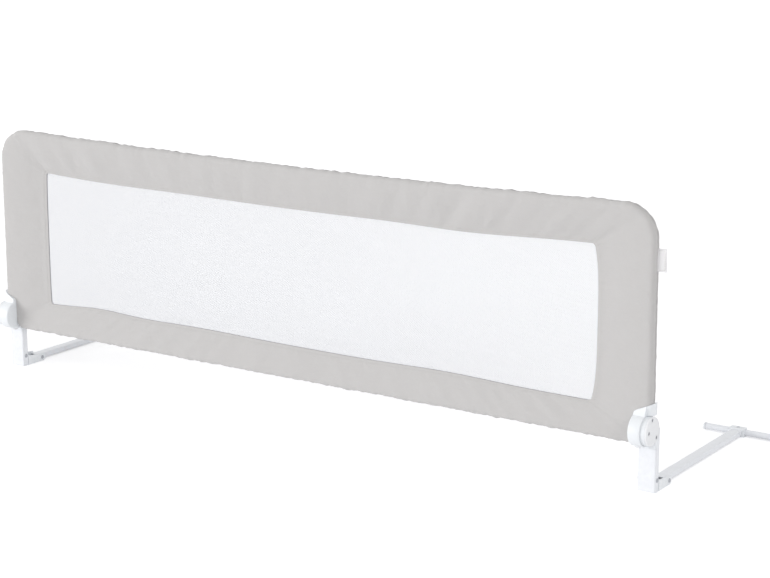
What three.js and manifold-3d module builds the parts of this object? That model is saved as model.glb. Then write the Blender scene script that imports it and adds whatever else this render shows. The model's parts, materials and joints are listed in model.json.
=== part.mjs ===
// Folding bed guard rail. A fabric cover with a net window is stretched on a tube frame, which folds down
// on two side hinges. Each hinge stands on a short post, and a flat bar with a cross tube at its far end
// runs from each post under the mattress.
// Millimetres. X runs along the panel, +Y points into the bed, +Z up, Z = 0 is the surface it stands on.
// The right-hand pieces are described at positive X, and a mirrored group makes the left-hand ones.
import * as THREE from "three";
import { mergeVertices } from "three/addons/utils/BufferGeometryUtils.js";
import Module from "manifold-3d";

const wasm = await Module();
wasm.setup();

// Clearances and facets
const fit = 0.3;
const overrun = 4;
const weldTolerance = 0.001;
const roundSides = 24;
const smallSides = 12;
const cornerSteps = 2;

// Panel outline
const panelLength = 1500;
const panelHeight = 422;
const panelBottom = 87;
const topCornerRadius = 65;
const lowerCornerRadius = 25;
const topSag = 10;

// Fabric cover: a sleeve round the frame tube that thins out to the hem of the window
const coverWall = 2.2;
const hemThickness = 2.4;
const taperLength = 22;
const taperThickness = 7;
const sleeveTurnShare = 0.64;
const foldDepth = 1.2;
const foldLength = 118;
const cutEdgeHeight = 63;
const cutEdgeRise = 12;
const cutCornerRadius = 22;

// Net window
const sideHem = 119;
const topHem = 79;
const bottomHem = 62;
const windowCornerRadius = 6;
const rightWindowBow = 8;
const leftWindowBow = 2;
const netThickness = 0.8;
const netStrand = 2.4;
const netBorder = windowCornerRadius;
const netColumns = 20;
const netRows = 7;

// Frame tube
const tubeDiameter = 19;
const tubeWall = 1.2;
const tubeSides = 12;
const spigotLength = 26;
const joinerLength = 84;

// Hinge: the drum turns with the guard, the ear and its cover plate stand on the post
const pivotForward = 11.5;
const drumRadius = 29;
const drumWall = 2.5;
const bossRadius = 8;
const collarWall = 2.2;
const earThickness = 8;
const earRadius = 26;
const earPocketWall = 3;
const plateThickness = 3.7;
const plateChamfer = 0.8;
const ringWidth = 4;
const ringDepth = 6;
const notchDepth = 2.4;
const toothWidth = 6;
const toothHeight = 3.2;
const stopInnerRadius = 10;
const stopOuterRadius = 15;
const stopHeight = 7;
const stopHalfAngle = THREE.MathUtils.degToRad(10);
const foldRange = Math.PI;
const boltRadius = 4;
const boltHeadRadius = 7.5;
const boltHeadHeight = 3.6;
const boltTipGap = 1.5;

// Places of the three cover screws, measured from the pivot axis
const coverScrewPlaces = [
  { back: -2.4, up: 21 },
  { back: -14.5, up: 0 },
  { back: 15, up: -14 },
];
const screwRadius = 1.7;
const screwHeadRadius = 3.2;
const screwHeadHeight = 1.6;
const screwSink = 0.4;
const screwLength = 7;

// Release button in the foot of the drum, with its return spring
const buttonWidth = 10;
const buttonDepth = 12;
const buttonLip = 3;
const buttonWall = 1.6;
const buttonTravel = 3;
const springWire = 0.5;
const springRadius = 2.6;
const springTurns = 5;
const springSteps = 8;
const springSides = 5;

// Post
const postWidth = 35;
const postDepth = 15;
const postWall = 1.5;
const postCorner = 3;
const postOutset = 1.5;
const postBehindPivot = 15.1;
const capThickness = 3.7;
const headGap = 3;
const plugLength = 32;
const plugWall = 2.5;
const gussetWidth = 9;
const gussetHeight = 1;

// Foot bracket with an open channel for the flat bar
const bracketLength = 50;
const bracketHeight = 20;
const bracketRearHeight = 15;
const bracketWall = 3;
const bracketFloor = 2;
const bracketCorner = 6;
const bracketPlugHeight = 32;
const tongueWidth = 20;
const tongueHeight = 15;
const rivetRadius = 2.5;
const rivetHeadRadius = 4;
const rivetHeadHeight = 1.4;
const rivetCrownShare = 0.6;
const postRivetHeight = 22;
const barRivetInset = 8.5;
const barBossRadius = 5;

// Flat bar and cross tube
const barWidth = 22;
const barHeight = 11.5;
const barWall = 1.2;
const barCorner = 2.5;
const barEndY = 384;
const crossLength = 140;
const crossRadius = 6;
const crossWall = 1.2;
const capPlugLength = 9;
const capHeadLength = 5;
const capHeadRadius = 6.9;
const connectorWidth = 30;
const connectorWall = 2;
const connectorPlugLength = 24;
const connectorCorner = 3;
const connectorChamfer = 2;

// Label tab: a folded strip in the seam of the right edge, left bare
const tabReach = 17;
const tabHeight = 40;
const tabLeaf = 0.6;
const tabGap = 0.8;
const tabDrop = 94;

// Places worked out from the sizes above
const tubeRadius = tubeDiameter / 2;
const channelRadius = tubeRadius + fit;
const coverHalf = channelRadius + coverWall;
const tubeX = panelLength / 2 - coverHalf;
const panelTop = panelBottom + panelHeight;
const tubeTop = panelTop - coverHalf;
const tubeBottom = panelBottom + coverHalf;
const bendRadius = topCornerRadius - coverHalf;
const bendX = tubeX - bendRadius;
const bendZ = tubeTop - bendRadius;

const pivotY = -pivotForward;
const pivotZ = panelBottom + drumRadius;
const postX = tubeX + postOutset;
const postInner = postX - postWidth / 2;
const postOuter = postX + postWidth / 2;
const plateX = postOuter - plateThickness;
const earOuter = plateX - fit;
const earInner = earOuter - earThickness;
const drumInner = postInner;
const drumOuter = earInner - fit;
const drumHollow = drumRadius - drumWall;
const ringOuter = drumHollow - fit;
const ringInner = ringOuter - ringWidth;
const buttonX = drumInner + drumWall + fit + buttonWidth / 2;

const postFront = pivotY + postBehindPivot;
const postBack = postFront + postDepth;
const postY = postFront + postDepth / 2;
const capTop = panelBottom - headGap;
const capBottom = capTop - capThickness;
const postTop = capBottom - fit;

const cutEdgeLow = panelBottom + cutEdgeHeight;
const cutSlope = cutEdgeRise / (panelLength / 2 - drumInner);
const collarRadius = channelRadius + collarWall;
const collarBottom = pivotZ + earRadius + 2 * fit;
const spigotRadius = tubeRadius - tubeWall - fit;
const tubeFoot = cutEdgeLow + cutEdgeRise + fit;

const barZ = bracketFloor + fit + barHeight / 2;
const barRivetY = postBack + fit + bracketLength - barRivetInset;
const bracketBack = postBack + fit + bracketLength;
const crossZ = barZ;
const connectorFront = barEndY + fit;
const crossY = connectorFront + connectorWall + fit + crossRadius;
const connectorBack = crossY + crossRadius + fit + connectorWall;
const connectorTop = crossZ + crossRadius + fit + connectorWall;

// Windows' edges, used by the cover and by the net
const windowHalf = panelLength / 2 - sideHem;
const windowBottom = panelBottom + bottomHem;
const windowTop = panelTop - topHem;

// Materials
const finish = (color, roughness, metalness = 0) =>
  new THREE.MeshStandardMaterial({ color, roughness, metalness });
const paintedSteel = finish(0xe9ebee, 0.4, 0.1);
const whitePlastic = finish(0xf1f2f4, 0.45);
const platePlastic = finish(0xd5d7db, 0.5);
const zincSteel = finish(0x8b8f96, 0.35, 0.8);
const springSteel = finish(0xa2a5aa, 0.3, 0.9);
const coverFabric = finish(0xcbc9c6, 0.95);
const netFabric = finish(0xf5f6f8, 0.9);
const labelTape = finish(0xd9d9d9, 0.8);

// Solids from three.js geometry, joined and cut

function solid(geometry) {
  const bare = new THREE.BufferGeometry();
  bare.setAttribute("position", geometry.getAttribute("position").clone());
  if (geometry.index) bare.setIndex(geometry.index.clone());
  const merged = mergeVertices(bare, weldTolerance);
  const index = merged.index.array;
  const kept = [];
  for (let i = 0; i < index.length; i += 3) {
    const [a, b, c] = [index[i], index[i + 1], index[i + 2]];
    if (a !== b && b !== c && a !== c) kept.push(a, b, c);
  }
  const make = (triangles) =>
    new wasm.Manifold(
      new wasm.Mesh({
        numProp: 3,
        vertProperties: merged.attributes.position.array,
        triVerts: new Uint32Array(triangles),
      }),
    );
  const made = make(kept);
  return made.volume() > 0 ? made : make(kept.reverse());
}

function geometryOf(shape) {
  const mesh = shape.getMesh();
  return new THREE.BufferGeometry()
    .setAttribute("position", new THREE.BufferAttribute(mesh.vertProperties, 3))
    .setIndex(new THREE.BufferAttribute(mesh.triVerts, 1))
    .toNonIndexed();
}

const join = (first, ...others) => others.reduce((all, one) => all.add(one), first);
const cut = (body, ...tools) => tools.reduce((left, tool) => left.subtract(tool), body);

// A flat shape pushed along one axis. The shape's own axes are Y and Z, X and Z, or X and Y.
const alongX = new THREE.Matrix4().makeBasis(
  new THREE.Vector3(0, 1, 0),
  new THREE.Vector3(0, 0, 1),
  new THREE.Vector3(1, 0, 0),
);
const alongY = new THREE.Matrix4().makeBasis(
  new THREE.Vector3(0, 0, 1),
  new THREE.Vector3(1, 0, 0),
  new THREE.Vector3(0, 1, 0),
);

function prism(shape, from, to, basis, curveSegments = cornerSteps) {
  const options = { depth: to - from, bevelEnabled: false, curveSegments };
  const geometry = new THREE.ExtrudeGeometry(shape, options).translate(0, 0, from);
  if (basis) geometry.applyMatrix4(basis);
  return solid(geometry);
}
const prismX = (shape, from, to, steps) => prism(shape, from, to, alongX, steps);
const prismY = (shape, from, to, steps) => prism(shape, from, to, alongY, steps);
const prismZ = (shape, from, to, steps) => prism(shape, from, to, null, steps);

// A profile of [distance along the axis, radius] turned about an axis through the given place.
function turned(profile, axis, place, sides = roundSides) {
  const points = profile.map(([along, radius]) => new THREE.Vector2(radius, along));
  const geometry = new THREE.LatheGeometry(points, sides);
  if (axis === "x") geometry.rotateZ(-Math.PI / 2);
  if (axis === "z") geometry.rotateX(Math.PI / 2);
  return solid(geometry.translate(...place));
}
const rodX = (from, to, radius, y, z, sides) =>
  turned([[from, 0], [from, radius], [to, radius], [to, 0]], "x", [0, y, z], sides);
const rodZ = (from, to, radius, x, y, sides) =>
  turned([[from, 0], [from, radius], [to, radius], [to, 0]], "z", [x, y, 0], sides);

function block(xs, ys, zs) {
  const [x, y, z] = [xs, ys, zs].map(([low, high]) => ({ size: high - low, mid: (low + high) / 2 }));
  return solid(new THREE.BoxGeometry(x.size, y.size, z.size).translate(x.mid, y.mid, z.mid));
}

function roundedRectangle(width, height, radius, across = 0, up = 0) {
  const shape = new THREE.Shape();
  const [right, top] = [width / 2 - radius, height / 2 - radius];
  shape.absarc(across + right, up + top, radius, 0, Math.PI / 2);
  shape.absarc(across - right, up + top, radius, Math.PI / 2, Math.PI);
  shape.absarc(across - right, up - top, radius, Math.PI, Math.PI * 1.5);
  shape.absarc(across + right, up - top, radius, Math.PI * 1.5, Math.PI * 2);
  return shape;
}

function outline(points) {
  return new THREE.Shape(points.map(([across, up]) => new THREE.Vector2(across, up)));
}

// Scene graph: one mirrored group per side, and one group for the pieces on the middle

const rail = new THREE.Group();
const middle = new THREE.Group();
const sides = { right: new THREE.Group(), left: new THREE.Group() };
sides.left.scale.x = -1;
rail.add(middle, sides.right, sides.left);

function piece(name, shape, material, group = middle) {
  const geometry = geometryOf(shape);
  geometry.computeVertexNormals();
  const mesh = new THREE.Mesh(geometry, material);
  mesh.name = name;
  group.add(mesh);
}

function pair(name, shape, material) {
  for (const side of Object.keys(sides)) piece(`${side}_${name}`, shape, material, sides[side]);
}

// Frame: the top of the tube sags a little between its bends, and so does all that follows it

const sagAt = (x, reach) => topSag * Math.max(0, 1 - (x / reach) ** 2);

class StationCurve extends THREE.Curve {
  constructor(stations) {
    super();
    this.stations = stations.map(([x, z]) => new THREE.Vector3(x, 0, z));
  }
  getPointAt(share) {
    const last = this.stations.length - 1;
    return this.stations[Math.round(share * last)].clone();
  }
  getTangentAt(share) {
    const last = this.stations.length - 1;
    const here = Math.round(share * last);
    const before = this.stations[Math.max(0, here - 1)];
    const after = this.stations[Math.min(last, here + 1)];
    const [toward, away] = [before, after].map((other) => other.clone().sub(this.stations[here]));
    toward.normalize();
    away.normalize();
    return away.sub(toward).normalize();
  }
}

const bendSteps = 6;
const topSteps = 6;

// Right-hand half of the frame's centre line, from its foot to the given end near the middle.
function frameStations(foot, end) {
  const stations = [[tubeX, foot]];
  for (let step = 0; step <= bendSteps; step++) {
    const angle = (step / bendSteps) * (Math.PI / 2);
    stations.push([bendX + bendRadius * Math.cos(angle), bendZ + bendRadius * Math.sin(angle)]);
  }
  for (let step = 1; step <= topSteps; step++) {
    const x = bendX + (end - bendX) * (step / topSteps);
    stations.push([x, tubeTop - sagAt(x, bendX)]);
  }
  return stations;
}

function circle(radius) {
  return new THREE.Shape().absarc(0, 0, radius, 0, Math.PI * 2);
}

function swept(shape, stations) {
  const options = {
    steps: stations.length - 1,
    bevelEnabled: false,
    extrudePath: new StationCurve(stations),
    curveSegments: tubeSides / 2,
  };
  return solid(new THREE.ExtrudeGeometry(shape, options));
}

const tubeSection = circle(tubeRadius);
tubeSection.holes.push(circle(tubeRadius - tubeWall));
pair("frame_tube", swept(tubeSection, frameStations(tubeFoot, fit / 2)), paintedSteel);

const bottomTubeEnd = drumInner - fit;
piece(
  "bottom_tube",
  prismX(tubeSection, -bottomTubeEnd, bottomTubeEnd, tubeSides / 2).translate([0, 0, tubeBottom]),
  paintedSteel,
);

// Joiner inside the two halves of the top tube, where they meet
const joinerSection = circle(spigotRadius);
joinerSection.holes.push(circle(spigotRadius - tubeWall));
piece(
  "top_tube_joiner",
  prismX(joinerSection, -joinerLength / 2, joinerLength / 2, tubeSides / 2).translate([
    0,
    0,
    tubeTop - topSag,
  ]),
  zincSteel,
);

// Cover and net: both take the window's edge from the same formula, in shares across and up the window

const windowTopAt = (x) => windowTop - sagAt(x, windowHalf);

function windowPoint(acrossShare, upShare, inset = 0) {
  const bulge = 4 * upShare * (1 - upShare);
  const left = -windowHalf - leftWindowBow * bulge + inset;
  const right = windowHalf + rightWindowBow * bulge - inset;
  const x = left + acrossShare * (right - left);
  const [low, high] = [windowBottom + inset, windowTopAt(x) - inset];
  return [x, low + upShare * (high - low)];
}

const bottomStations = 6;
const sideStations = 8;
const topStations = 24;
const lowCornerStations = 2;
const highCornerStations = 5;
const cornerAcrossShare = windowCornerRadius / (2 * windowHalf);
const cornerUpShare = windowCornerRadius / (windowTop - windowBottom);

// Stations round the panel, anticlockwise from the lower left. Each has its place on the outer edge's
// curve, the way out from there, and its place on the window's edge.
function coverStations() {
  const stations = [];
  const edge = panelLength / 2;
  const ways = [
    { corner: [1, -1], radius: lowerCornerRadius, steps: lowCornerStations, from: -Math.PI / 2 },
    { corner: [1, 1], radius: topCornerRadius, steps: highCornerStations, from: 0 },
    { corner: [-1, 1], radius: topCornerRadius, steps: highCornerStations, from: Math.PI / 2 },
    { corner: [-1, -1], radius: lowerCornerRadius, steps: lowCornerStations, from: Math.PI },
  ];
  const runs = [bottomStations, sideStations, topStations, sideStations];
  const centre = ({ corner, radius }) => [
    corner[0] * (edge - radius),
    corner[1] > 0 ? panelTop - radius : panelBottom + radius,
  ];
  const share = (corner, angle) => [
    corner[0] > 0 ? 1 - cornerAcrossShare * (1 - Math.cos(angle)) : cornerAcrossShare * (1 + Math.cos(angle)),
    corner[1] > 0 ? 1 - cornerUpShare * (1 - Math.sin(angle)) : cornerUpShare * (1 + Math.sin(angle)),
  ];
  const onCorner = (way, angle) => ({
    hub: centre(way),
    radius: way.radius,
    out: [Math.cos(angle), Math.sin(angle)],
    window: share(way.corner, angle),
  });
  ways.forEach((way, number) => {
    const before = ways[(number + ways.length - 1) % ways.length];
    const start = onCorner(before, before.from + Math.PI / 2);
    const end = onCorner(way, way.from);
    for (let step = 1; step < runs[number]; step++) {
      const along = step / runs[number];
      const mix = (a, b) => a.map((value, axis) => value + along * (b[axis] - value));
      stations.push({
        hub: mix(start.hub, end.hub),
        radius: start.radius + along * (end.radius - start.radius),
        out: end.out,
        window: mix(start.window, end.window),
      });
    }
    for (let step = 0; step <= way.steps; step++) {
      stations.push(onCorner(way, way.from + (step / way.steps) * (Math.PI / 2)));
    }
  });
  return stations;
}

const sleeveAngles = [0, Math.PI / 4, Math.PI / 2, Math.PI * sleeveTurnShare];

// Half of the section at one station, from the outer edge to the window, as [x, half thickness, z].
function coverSection({ hub, radius, out, window }) {
  const reach = radius - coverHalf;
  const sag = out[1] > 0 ? sagAt(hub[0], bendX) : 0;
  const middleLine = [hub[0] + out[0] * reach, hub[1] + out[1] * reach - sag];
  const [windowX, windowZ] = windowPoint(...window);
  const inward = [windowX - middleLine[0], windowZ - middleLine[1]];
  const width = Math.hypot(...inward);
  const fold = 1 + (foldDepth / taperThickness) * Math.cos((2 * Math.PI * middleLine[0]) / foldLength);
  const sleeve = sleeveAngles.map((angle) => [
    middleLine[0] + out[0] * coverHalf * Math.cos(angle),
    coverHalf * Math.sin(angle),
    middleLine[1] + out[1] * coverHalf * Math.cos(angle),
  ]);
  const taper = [
    middleLine[0] + (inward[0] * taperLength) / width,
    (taperThickness / 2) * fold,
    middleLine[1] + (inward[1] * taperLength) / width,
  ];
  return [...sleeve, taper, [windowX, hemThickness / 2, windowZ]];
}

function coverBody() {
  const rings = coverStations().map((station) => {
    const front = coverSection(station);
    const back = front.slice(1).map(([x, y, z]) => [x, -y, z]);
    return [...front, ...back.reverse()];
  });
  const around = rings[0].length;
  const positions = rings.flat(2);
  const index = [];
  rings.forEach((ring, number) => {
    const next = (number + 1) % rings.length;
    for (let point = 0; point < around; point++) {
      const after = (point + 1) % around;
      const [a, b] = [number * around + point, number * around + after];
      const [c, d] = [next * around + point, next * around + after];
      index.push(a, c, b, b, c, d);
    }
  });
  const geometry = new THREE.BufferGeometry();
  geometry.setAttribute("position", new THREE.Float32BufferAttribute(positions, 3));
  return solid(geometry.setIndex(index));
}

// The fabric ends short of each hinge: a sloping edge over the collar, and a round corner beside the drum.
function hingeCutOut() {
  const inner = drumInner - fit;
  const edge = panelLength / 2 + overrun;
  const low = panelBottom - overrun;
  const shape = new THREE.Shape();
  shape.moveTo(inner - cutCornerRadius, low);
  shape.lineTo(inner - cutCornerRadius, panelBottom);
  const turn = [Math.PI * 1.5, Math.PI * 2];
  shape.absarc(inner - cutCornerRadius, panelBottom + cutCornerRadius, cutCornerRadius, ...turn);
  shape.lineTo(inner, cutEdgeLow + fit);
  shape.lineTo(edge, cutEdgeLow + fit + cutSlope * (edge - inner));
  shape.lineTo(edge, low);
  return prismY(outlineXZ(shape), -coverHalf - overrun, coverHalf + overrun, cornerSteps);
}

// prismY reads a shape as Z across and X up, so a shape drawn with X across is turned over.
function outlineXZ(shape) {
  return outline(shape.getPoints(cornerSteps * 2).map((point) => [point.y, point.x]));
}

const mirrored = (shape) => shape.mirror([1, 0, 0]);
const channelHalf = swept(circle(channelRadius), frameStations(panelBottom, -overrun));
const bottomChannel = rodX(-tubeX, tubeX, channelRadius, 0, tubeBottom, tubeSides);
const hingeCut = hingeCutOut();
piece(
  "fabric_cover",
  cut(coverBody(), channelHalf, mirrored(channelHalf), bottomChannel, hingeCut, mirrored(hingeCut)),
  coverFabric,
);

// Where the strands of the net begin and end, as shares across or up the window. The spaces between an
// odd line and the next are the gaps.
function strandShares(count, borderShare, strandShare) {
  const gapShare = (1 - 2 * borderShare - (count - 1) * strandShare) / count;
  const shares = [0];
  for (let gap = 0; gap < count; gap++) {
    const start = borderShare + gap * (gapShare + strandShare);
    shares.push(start, start + gapShare);
  }
  return [...shares, 1];
}

function netPanel() {
  const [width, height] = [2 * windowHalf, windowTop - windowBottom];
  const across = strandShares(netColumns, netBorder / width, netStrand / width);
  const up = strandShares(netRows, netBorder / height, netStrand / height);
  const [columns, rows] = [across.length - 1, up.length - 1];
  const points = [];
  const cornerShare = 1 - Math.SQRT1_2;
  up.forEach((upShare, row) => {
    across.forEach((acrossShare, column) => {
      const onCorner = column % columns === 0 && row % rows === 0;
      const shift = onCorner ? cornerShare : 0;
      const nudge = (share, reach) => share + (share > 0 ? -reach : reach) * shift;
      const at = [nudge(acrossShare, cornerAcrossShare), nudge(upShare, cornerUpShare)];
      points.push(windowPoint(...at, fit));
    });
  });
  const layer = (y) => points.flatMap(([x, z]) => [x, y, z]);
  const at = (column, row) => row * across.length + column;
  const isNet = (column, row) => {
    const inside = column >= 0 && row >= 0 && column < columns && row < rows;
    return inside && !(column % 2 && row % 2);
  };
  const index = [];
  const back = points.length;
  const wall = (a, b) => index.push(a, a + back, b, b, a + back, b + back);
  for (let row = 0; row < rows; row++) {
    for (let column = 0; column < columns; column++) {
      if (!isNet(column, row)) continue;
      const [a, b] = [at(column, row), at(column + 1, row)];
      const [c, d] = [at(column, row + 1), at(column + 1, row + 1)];
      index.push(a, b, d, a, d, c);
      index.push(a + back, d + back, b + back, a + back, c + back, d + back);
      if (!isNet(column, row - 1)) wall(a, b);
      if (!isNet(column + 1, row)) wall(b, d);
      if (!isNet(column, row + 1)) wall(d, c);
      if (!isNet(column - 1, row)) wall(c, a);
    }
  }
  const geometry = new THREE.BufferGeometry();
  const positions = [...layer(-netThickness / 2), ...layer(netThickness / 2)];
  geometry.setAttribute("position", new THREE.Float32BufferAttribute(positions, 3));
  return solid(geometry.setIndex(index));
}
piece("net_window", netPanel(), netFabric);

function labelTab() {
  const inner = panelLength / 2 + fit;
  const outer = inner + tabReach;
  const half = tabGap / 2 + tabLeaf;
  const loop = outline([
    [inner, -half],
    [outer - half, -half],
    [outer, 0],
    [outer - half, half],
    [inner, half],
    [inner, tabGap / 2],
    [outer - half, tabGap / 2],
    [outer - half, -tabGap / 2],
    [inner, -tabGap / 2],
  ]);
  return prismZ(loop, panelTop - tabDrop - tabHeight / 2, panelTop - tabDrop + tabHeight / 2);
}
piece("label_tab", labelTab(), labelTape);

// Hinge housing: an open drum with a neck, a collar and two spigots for the frame tubes

// A stop sector between two radii, its middle at the given angle about the pivot axis.
function stopSector(angle, from, to) {
  const shape = new THREE.Shape();
  shape.absarc(0, 0, stopOuterRadius, angle - stopHalfAngle, angle + stopHalfAngle);
  shape.absarc(0, 0, stopInnerRadius, angle + stopHalfAngle, angle - stopHalfAngle, true);
  return prismX(shape, from, to, 1).translate([0, pivotY, pivotZ]);
}
const stopGapAngle = fit / stopInnerRadius;
const housingStopAngle = 2 * stopHalfAngle + stopGapAngle;
const foldedStopAngle = housingStopAngle + foldRange + housingStopAngle;

function hingeHousing() {
  const rise = cutEdgeLow + cutEdgeRise;
  const drum = rodX(drumInner, drumOuter, drumRadius, pivotY, pivotZ);
  const neck = prismX(
    outline([
      [pivotY - drumRadius * Math.cos(Math.PI / 6), pivotZ + drumRadius / 2],
      [pivotY + drumRadius * Math.cos(Math.PI / 6), pivotZ + drumRadius / 2],
      [collarRadius, rise],
      [-collarRadius, rise],
    ]),
    drumInner,
    drumOuter,
  );
  const collar = rodZ(collarBottom, rise + overrun, collarRadius, tubeX, 0);
  const aboveEdge = prismY(
    outline([
      [cutEdgeLow - overrun * cutSlope, drumInner - overrun],
      [rise + overrun * (1 + cutSlope), drumInner - overrun],
      [rise + overrun * (1 + cutSlope), panelLength / 2 + overrun],
      [rise + overrun * cutSlope, panelLength / 2 + overrun],
    ]),
    pivotY - drumRadius,
    pivotY + 2 * drumRadius,
  );
  const hollow = rodX(drumInner + drumWall, drumOuter + overrun, drumHollow, pivotY, pivotZ);
  const shell = cut(join(drum, neck, collar), aboveEdge, hollow);
  const boss = rodX(drumInner + drumWall / 2, drumOuter, bossRadius, pivotY, pivotZ);
  const bore = rodX(drumInner + drumWall, drumOuter + overrun, boltRadius + fit, pivotY, pivotZ, smallSides);
  const upperSpigot = rodZ(cutEdgeLow - drumWall, tubeFoot + spigotLength, spigotRadius, tubeX, 0, tubeSides);
  const lowerSpigot = rodX(
    drumInner - spigotLength,
    drumInner + drumWall / 2,
    spigotRadius,
    0,
    tubeBottom,
    tubeSides,
  );
  const stop = stopSector(housingStopAngle, drumInner + drumWall / 2, drumOuter);
  const slot = block(
    [buttonX - buttonWidth / 2 - fit, buttonX + buttonWidth / 2 + fit],
    [pivotY - buttonDepth / 2 - fit, pivotY + buttonDepth / 2 + fit],
    [panelBottom - overrun, pivotZ - drumHollow + overrun],
  );
  return cut(join(shell, boss, upperSpigot, lowerSpigot, stop), bore, slot);
}
pair("hinge_housing", hingeHousing(), whitePlastic);

// Post head: a plug in the post, a cap on it, and an upright ear with the lock ring and the two stops

function insidePost(gap) {
  const [width, depth] = [postWidth, postDepth].map((size) => size - 2 * (postWall + gap));
  return roundedRectangle(width, depth, postCorner - postWall, postX, postY);
}

function postHead() {
  const cap = prismZ(roundedRectangle(postWidth, postDepth, postCorner, postX, postY), capBottom, capTop);
  const plug = prismZ(insidePost(fit), capBottom - plugLength, capTop - capThickness / 2);
  const pocket = prismZ(insidePost(fit + plugWall), capBottom - plugLength - overrun, capBottom);
  const ear = rodX(earInner, earOuter, earRadius, pivotY, pivotZ);
  const arm = block([earInner, postOuter], [postFront, postBack], [capTop - capThickness / 2, pivotZ]);
  const gusset = block(
    [earInner - gussetWidth, earInner + fit],
    [postY - plugWall / 2, postY + plugWall / 2],
    [capTop - capThickness / 2, capTop + gussetHeight],
  );
  const plateSeat = rodX(earOuter, postOuter + overrun, earRadius + fit, pivotY, pivotZ);
  const ring = cut(
    rodX(earInner - ringDepth, earInner + fit, ringOuter, pivotY, pivotZ),
    rodX(earInner - ringDepth - overrun, earInner, ringInner, pivotY, pivotZ),
  );
  const notchReach = ringInner + notchDepth;
  const notches = block(
    [earInner - ringDepth - overrun, earInner],
    [pivotY - toothWidth / 2 - fit, pivotY + toothWidth / 2 + fit],
    [pivotZ - notchReach, pivotZ + notchReach],
  );
  const stops = [0, foldedStopAngle].map((angle) =>
    stopSector(angle, earInner - stopHeight, earInner + fit),
  );
  const boltBore = rodX(earInner - overrun, earOuter + overrun, boltRadius + fit, pivotY, pivotZ, smallSides);
  const headSeat = earOuter - boltHeadHeight - fit;
  const headPocket = rodX(headSeat, earOuter + overrun, boltHeadRadius + fit, pivotY, pivotZ);
  const screwBores = coverScrewPlaces.map(({ back, up }) =>
    rodX(
      earInner + earPocketWall / 2,
      earOuter + overrun,
      screwRadius + fit,
      pivotY + back,
      pivotZ + up,
      smallSides,
    ),
  );
  const standing = cut(join(ear, arm), plateSeat);
  const body = join(cap, plug, standing, gusset, cut(ring, notches), ...stops);
  return cut(body, pocket, boltBore, headPocket, ...screwBores);
}
pair("post_head", postHead(), whitePlastic);

function hingeCover() {
  const plate = turned(
    [
      [plateX, 0],
      [plateX, earRadius],
      [postOuter - plateChamfer, earRadius],
      [postOuter, earRadius - plateChamfer],
      [postOuter, 0],
    ],
    "x",
    [0, pivotY, pivotZ],
  );
  const sinks = coverScrewPlaces.flatMap(({ back, up }) => [
    rodX(plateX - overrun, postOuter + overrun, screwRadius + fit, pivotY + back, pivotZ + up, smallSides),
    rodX(
      postOuter - screwSink - screwHeadHeight - fit,
      postOuter + overrun,
      screwHeadRadius + fit,
      pivotY + back,
      pivotZ + up,
      smallSides,
    ),
  ]);
  return cut(plate, ...sinks);
}
pair("hinge_cover", hingeCover(), platePlastic);

coverScrewPlaces.forEach(({ back, up }, number) => {
  const headTop = postOuter - screwSink;
  const headBase = headTop - screwHeadHeight;
  const profile = [
    [headBase - screwLength, 0],
    [headBase - screwLength, screwRadius],
    [headBase, screwRadius],
    [headBase, screwHeadRadius],
    [headTop, screwHeadRadius],
    [headTop, 0],
  ];
  const screw = turned(profile, "x", [0, pivotY + back, pivotZ + up], smallSides);
  pair(`cover_screw_${number + 1}`, screw, zincSteel);
});

function pivotBolt() {
  const headTop = earOuter;
  const headBase = headTop - boltHeadHeight;
  const tip = drumInner + drumWall + boltTipGap;
  const profile = [
    [tip, 0],
    [tip, boltRadius],
    [headBase, boltRadius],
    [headBase, boltHeadRadius],
    [headTop, boltHeadRadius],
    [headTop, 0],
  ];
  return turned(profile, "x", [0, pivotY, pivotZ], smallSides * 2);
}
pair("pivot_bolt", pivotBolt(), zincSteel);

// Release button: a block in the slot of the drum that stands out below it, with a lock tooth towards the
// ear. The tooth's corners stand just clear of the facets inside the ring, level with its notch. Above the
// block there is room for twice its travel below the boss, where the spring rests.

const buttonTop = pivotZ - bossRadius - 2 * buttonTravel;
const springFloor = panelBottom + buttonWall;
const toothReach = ringInner * Math.cos(Math.PI / roundSides) - fit;
const toothFoot = pivotZ - Math.sqrt(toothReach ** 2 - (toothWidth / 2) ** 2);

function releaseButton() {
  const [back, front] = [pivotY + buttonDepth / 2, pivotY - buttonDepth / 2];
  const stem = block(
    [buttonX - buttonWidth / 2, buttonX + buttonWidth / 2],
    [front, back],
    [panelBottom - buttonLip, buttonTop],
  );
  const tooth = block(
    [buttonX, earInner - fit],
    [pivotY - toothWidth / 2, pivotY + toothWidth / 2],
    [toothFoot, toothFoot + toothHeight],
  );
  const pocketRadius = springRadius + springWire + fit;
  const pocket = rodZ(springFloor, buttonTop + overrun, pocketRadius, buttonX, pivotY, smallSides);
  return cut(join(stem, tooth), pocket);
}
pair("release_button", releaseButton(), platePlastic);

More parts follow.
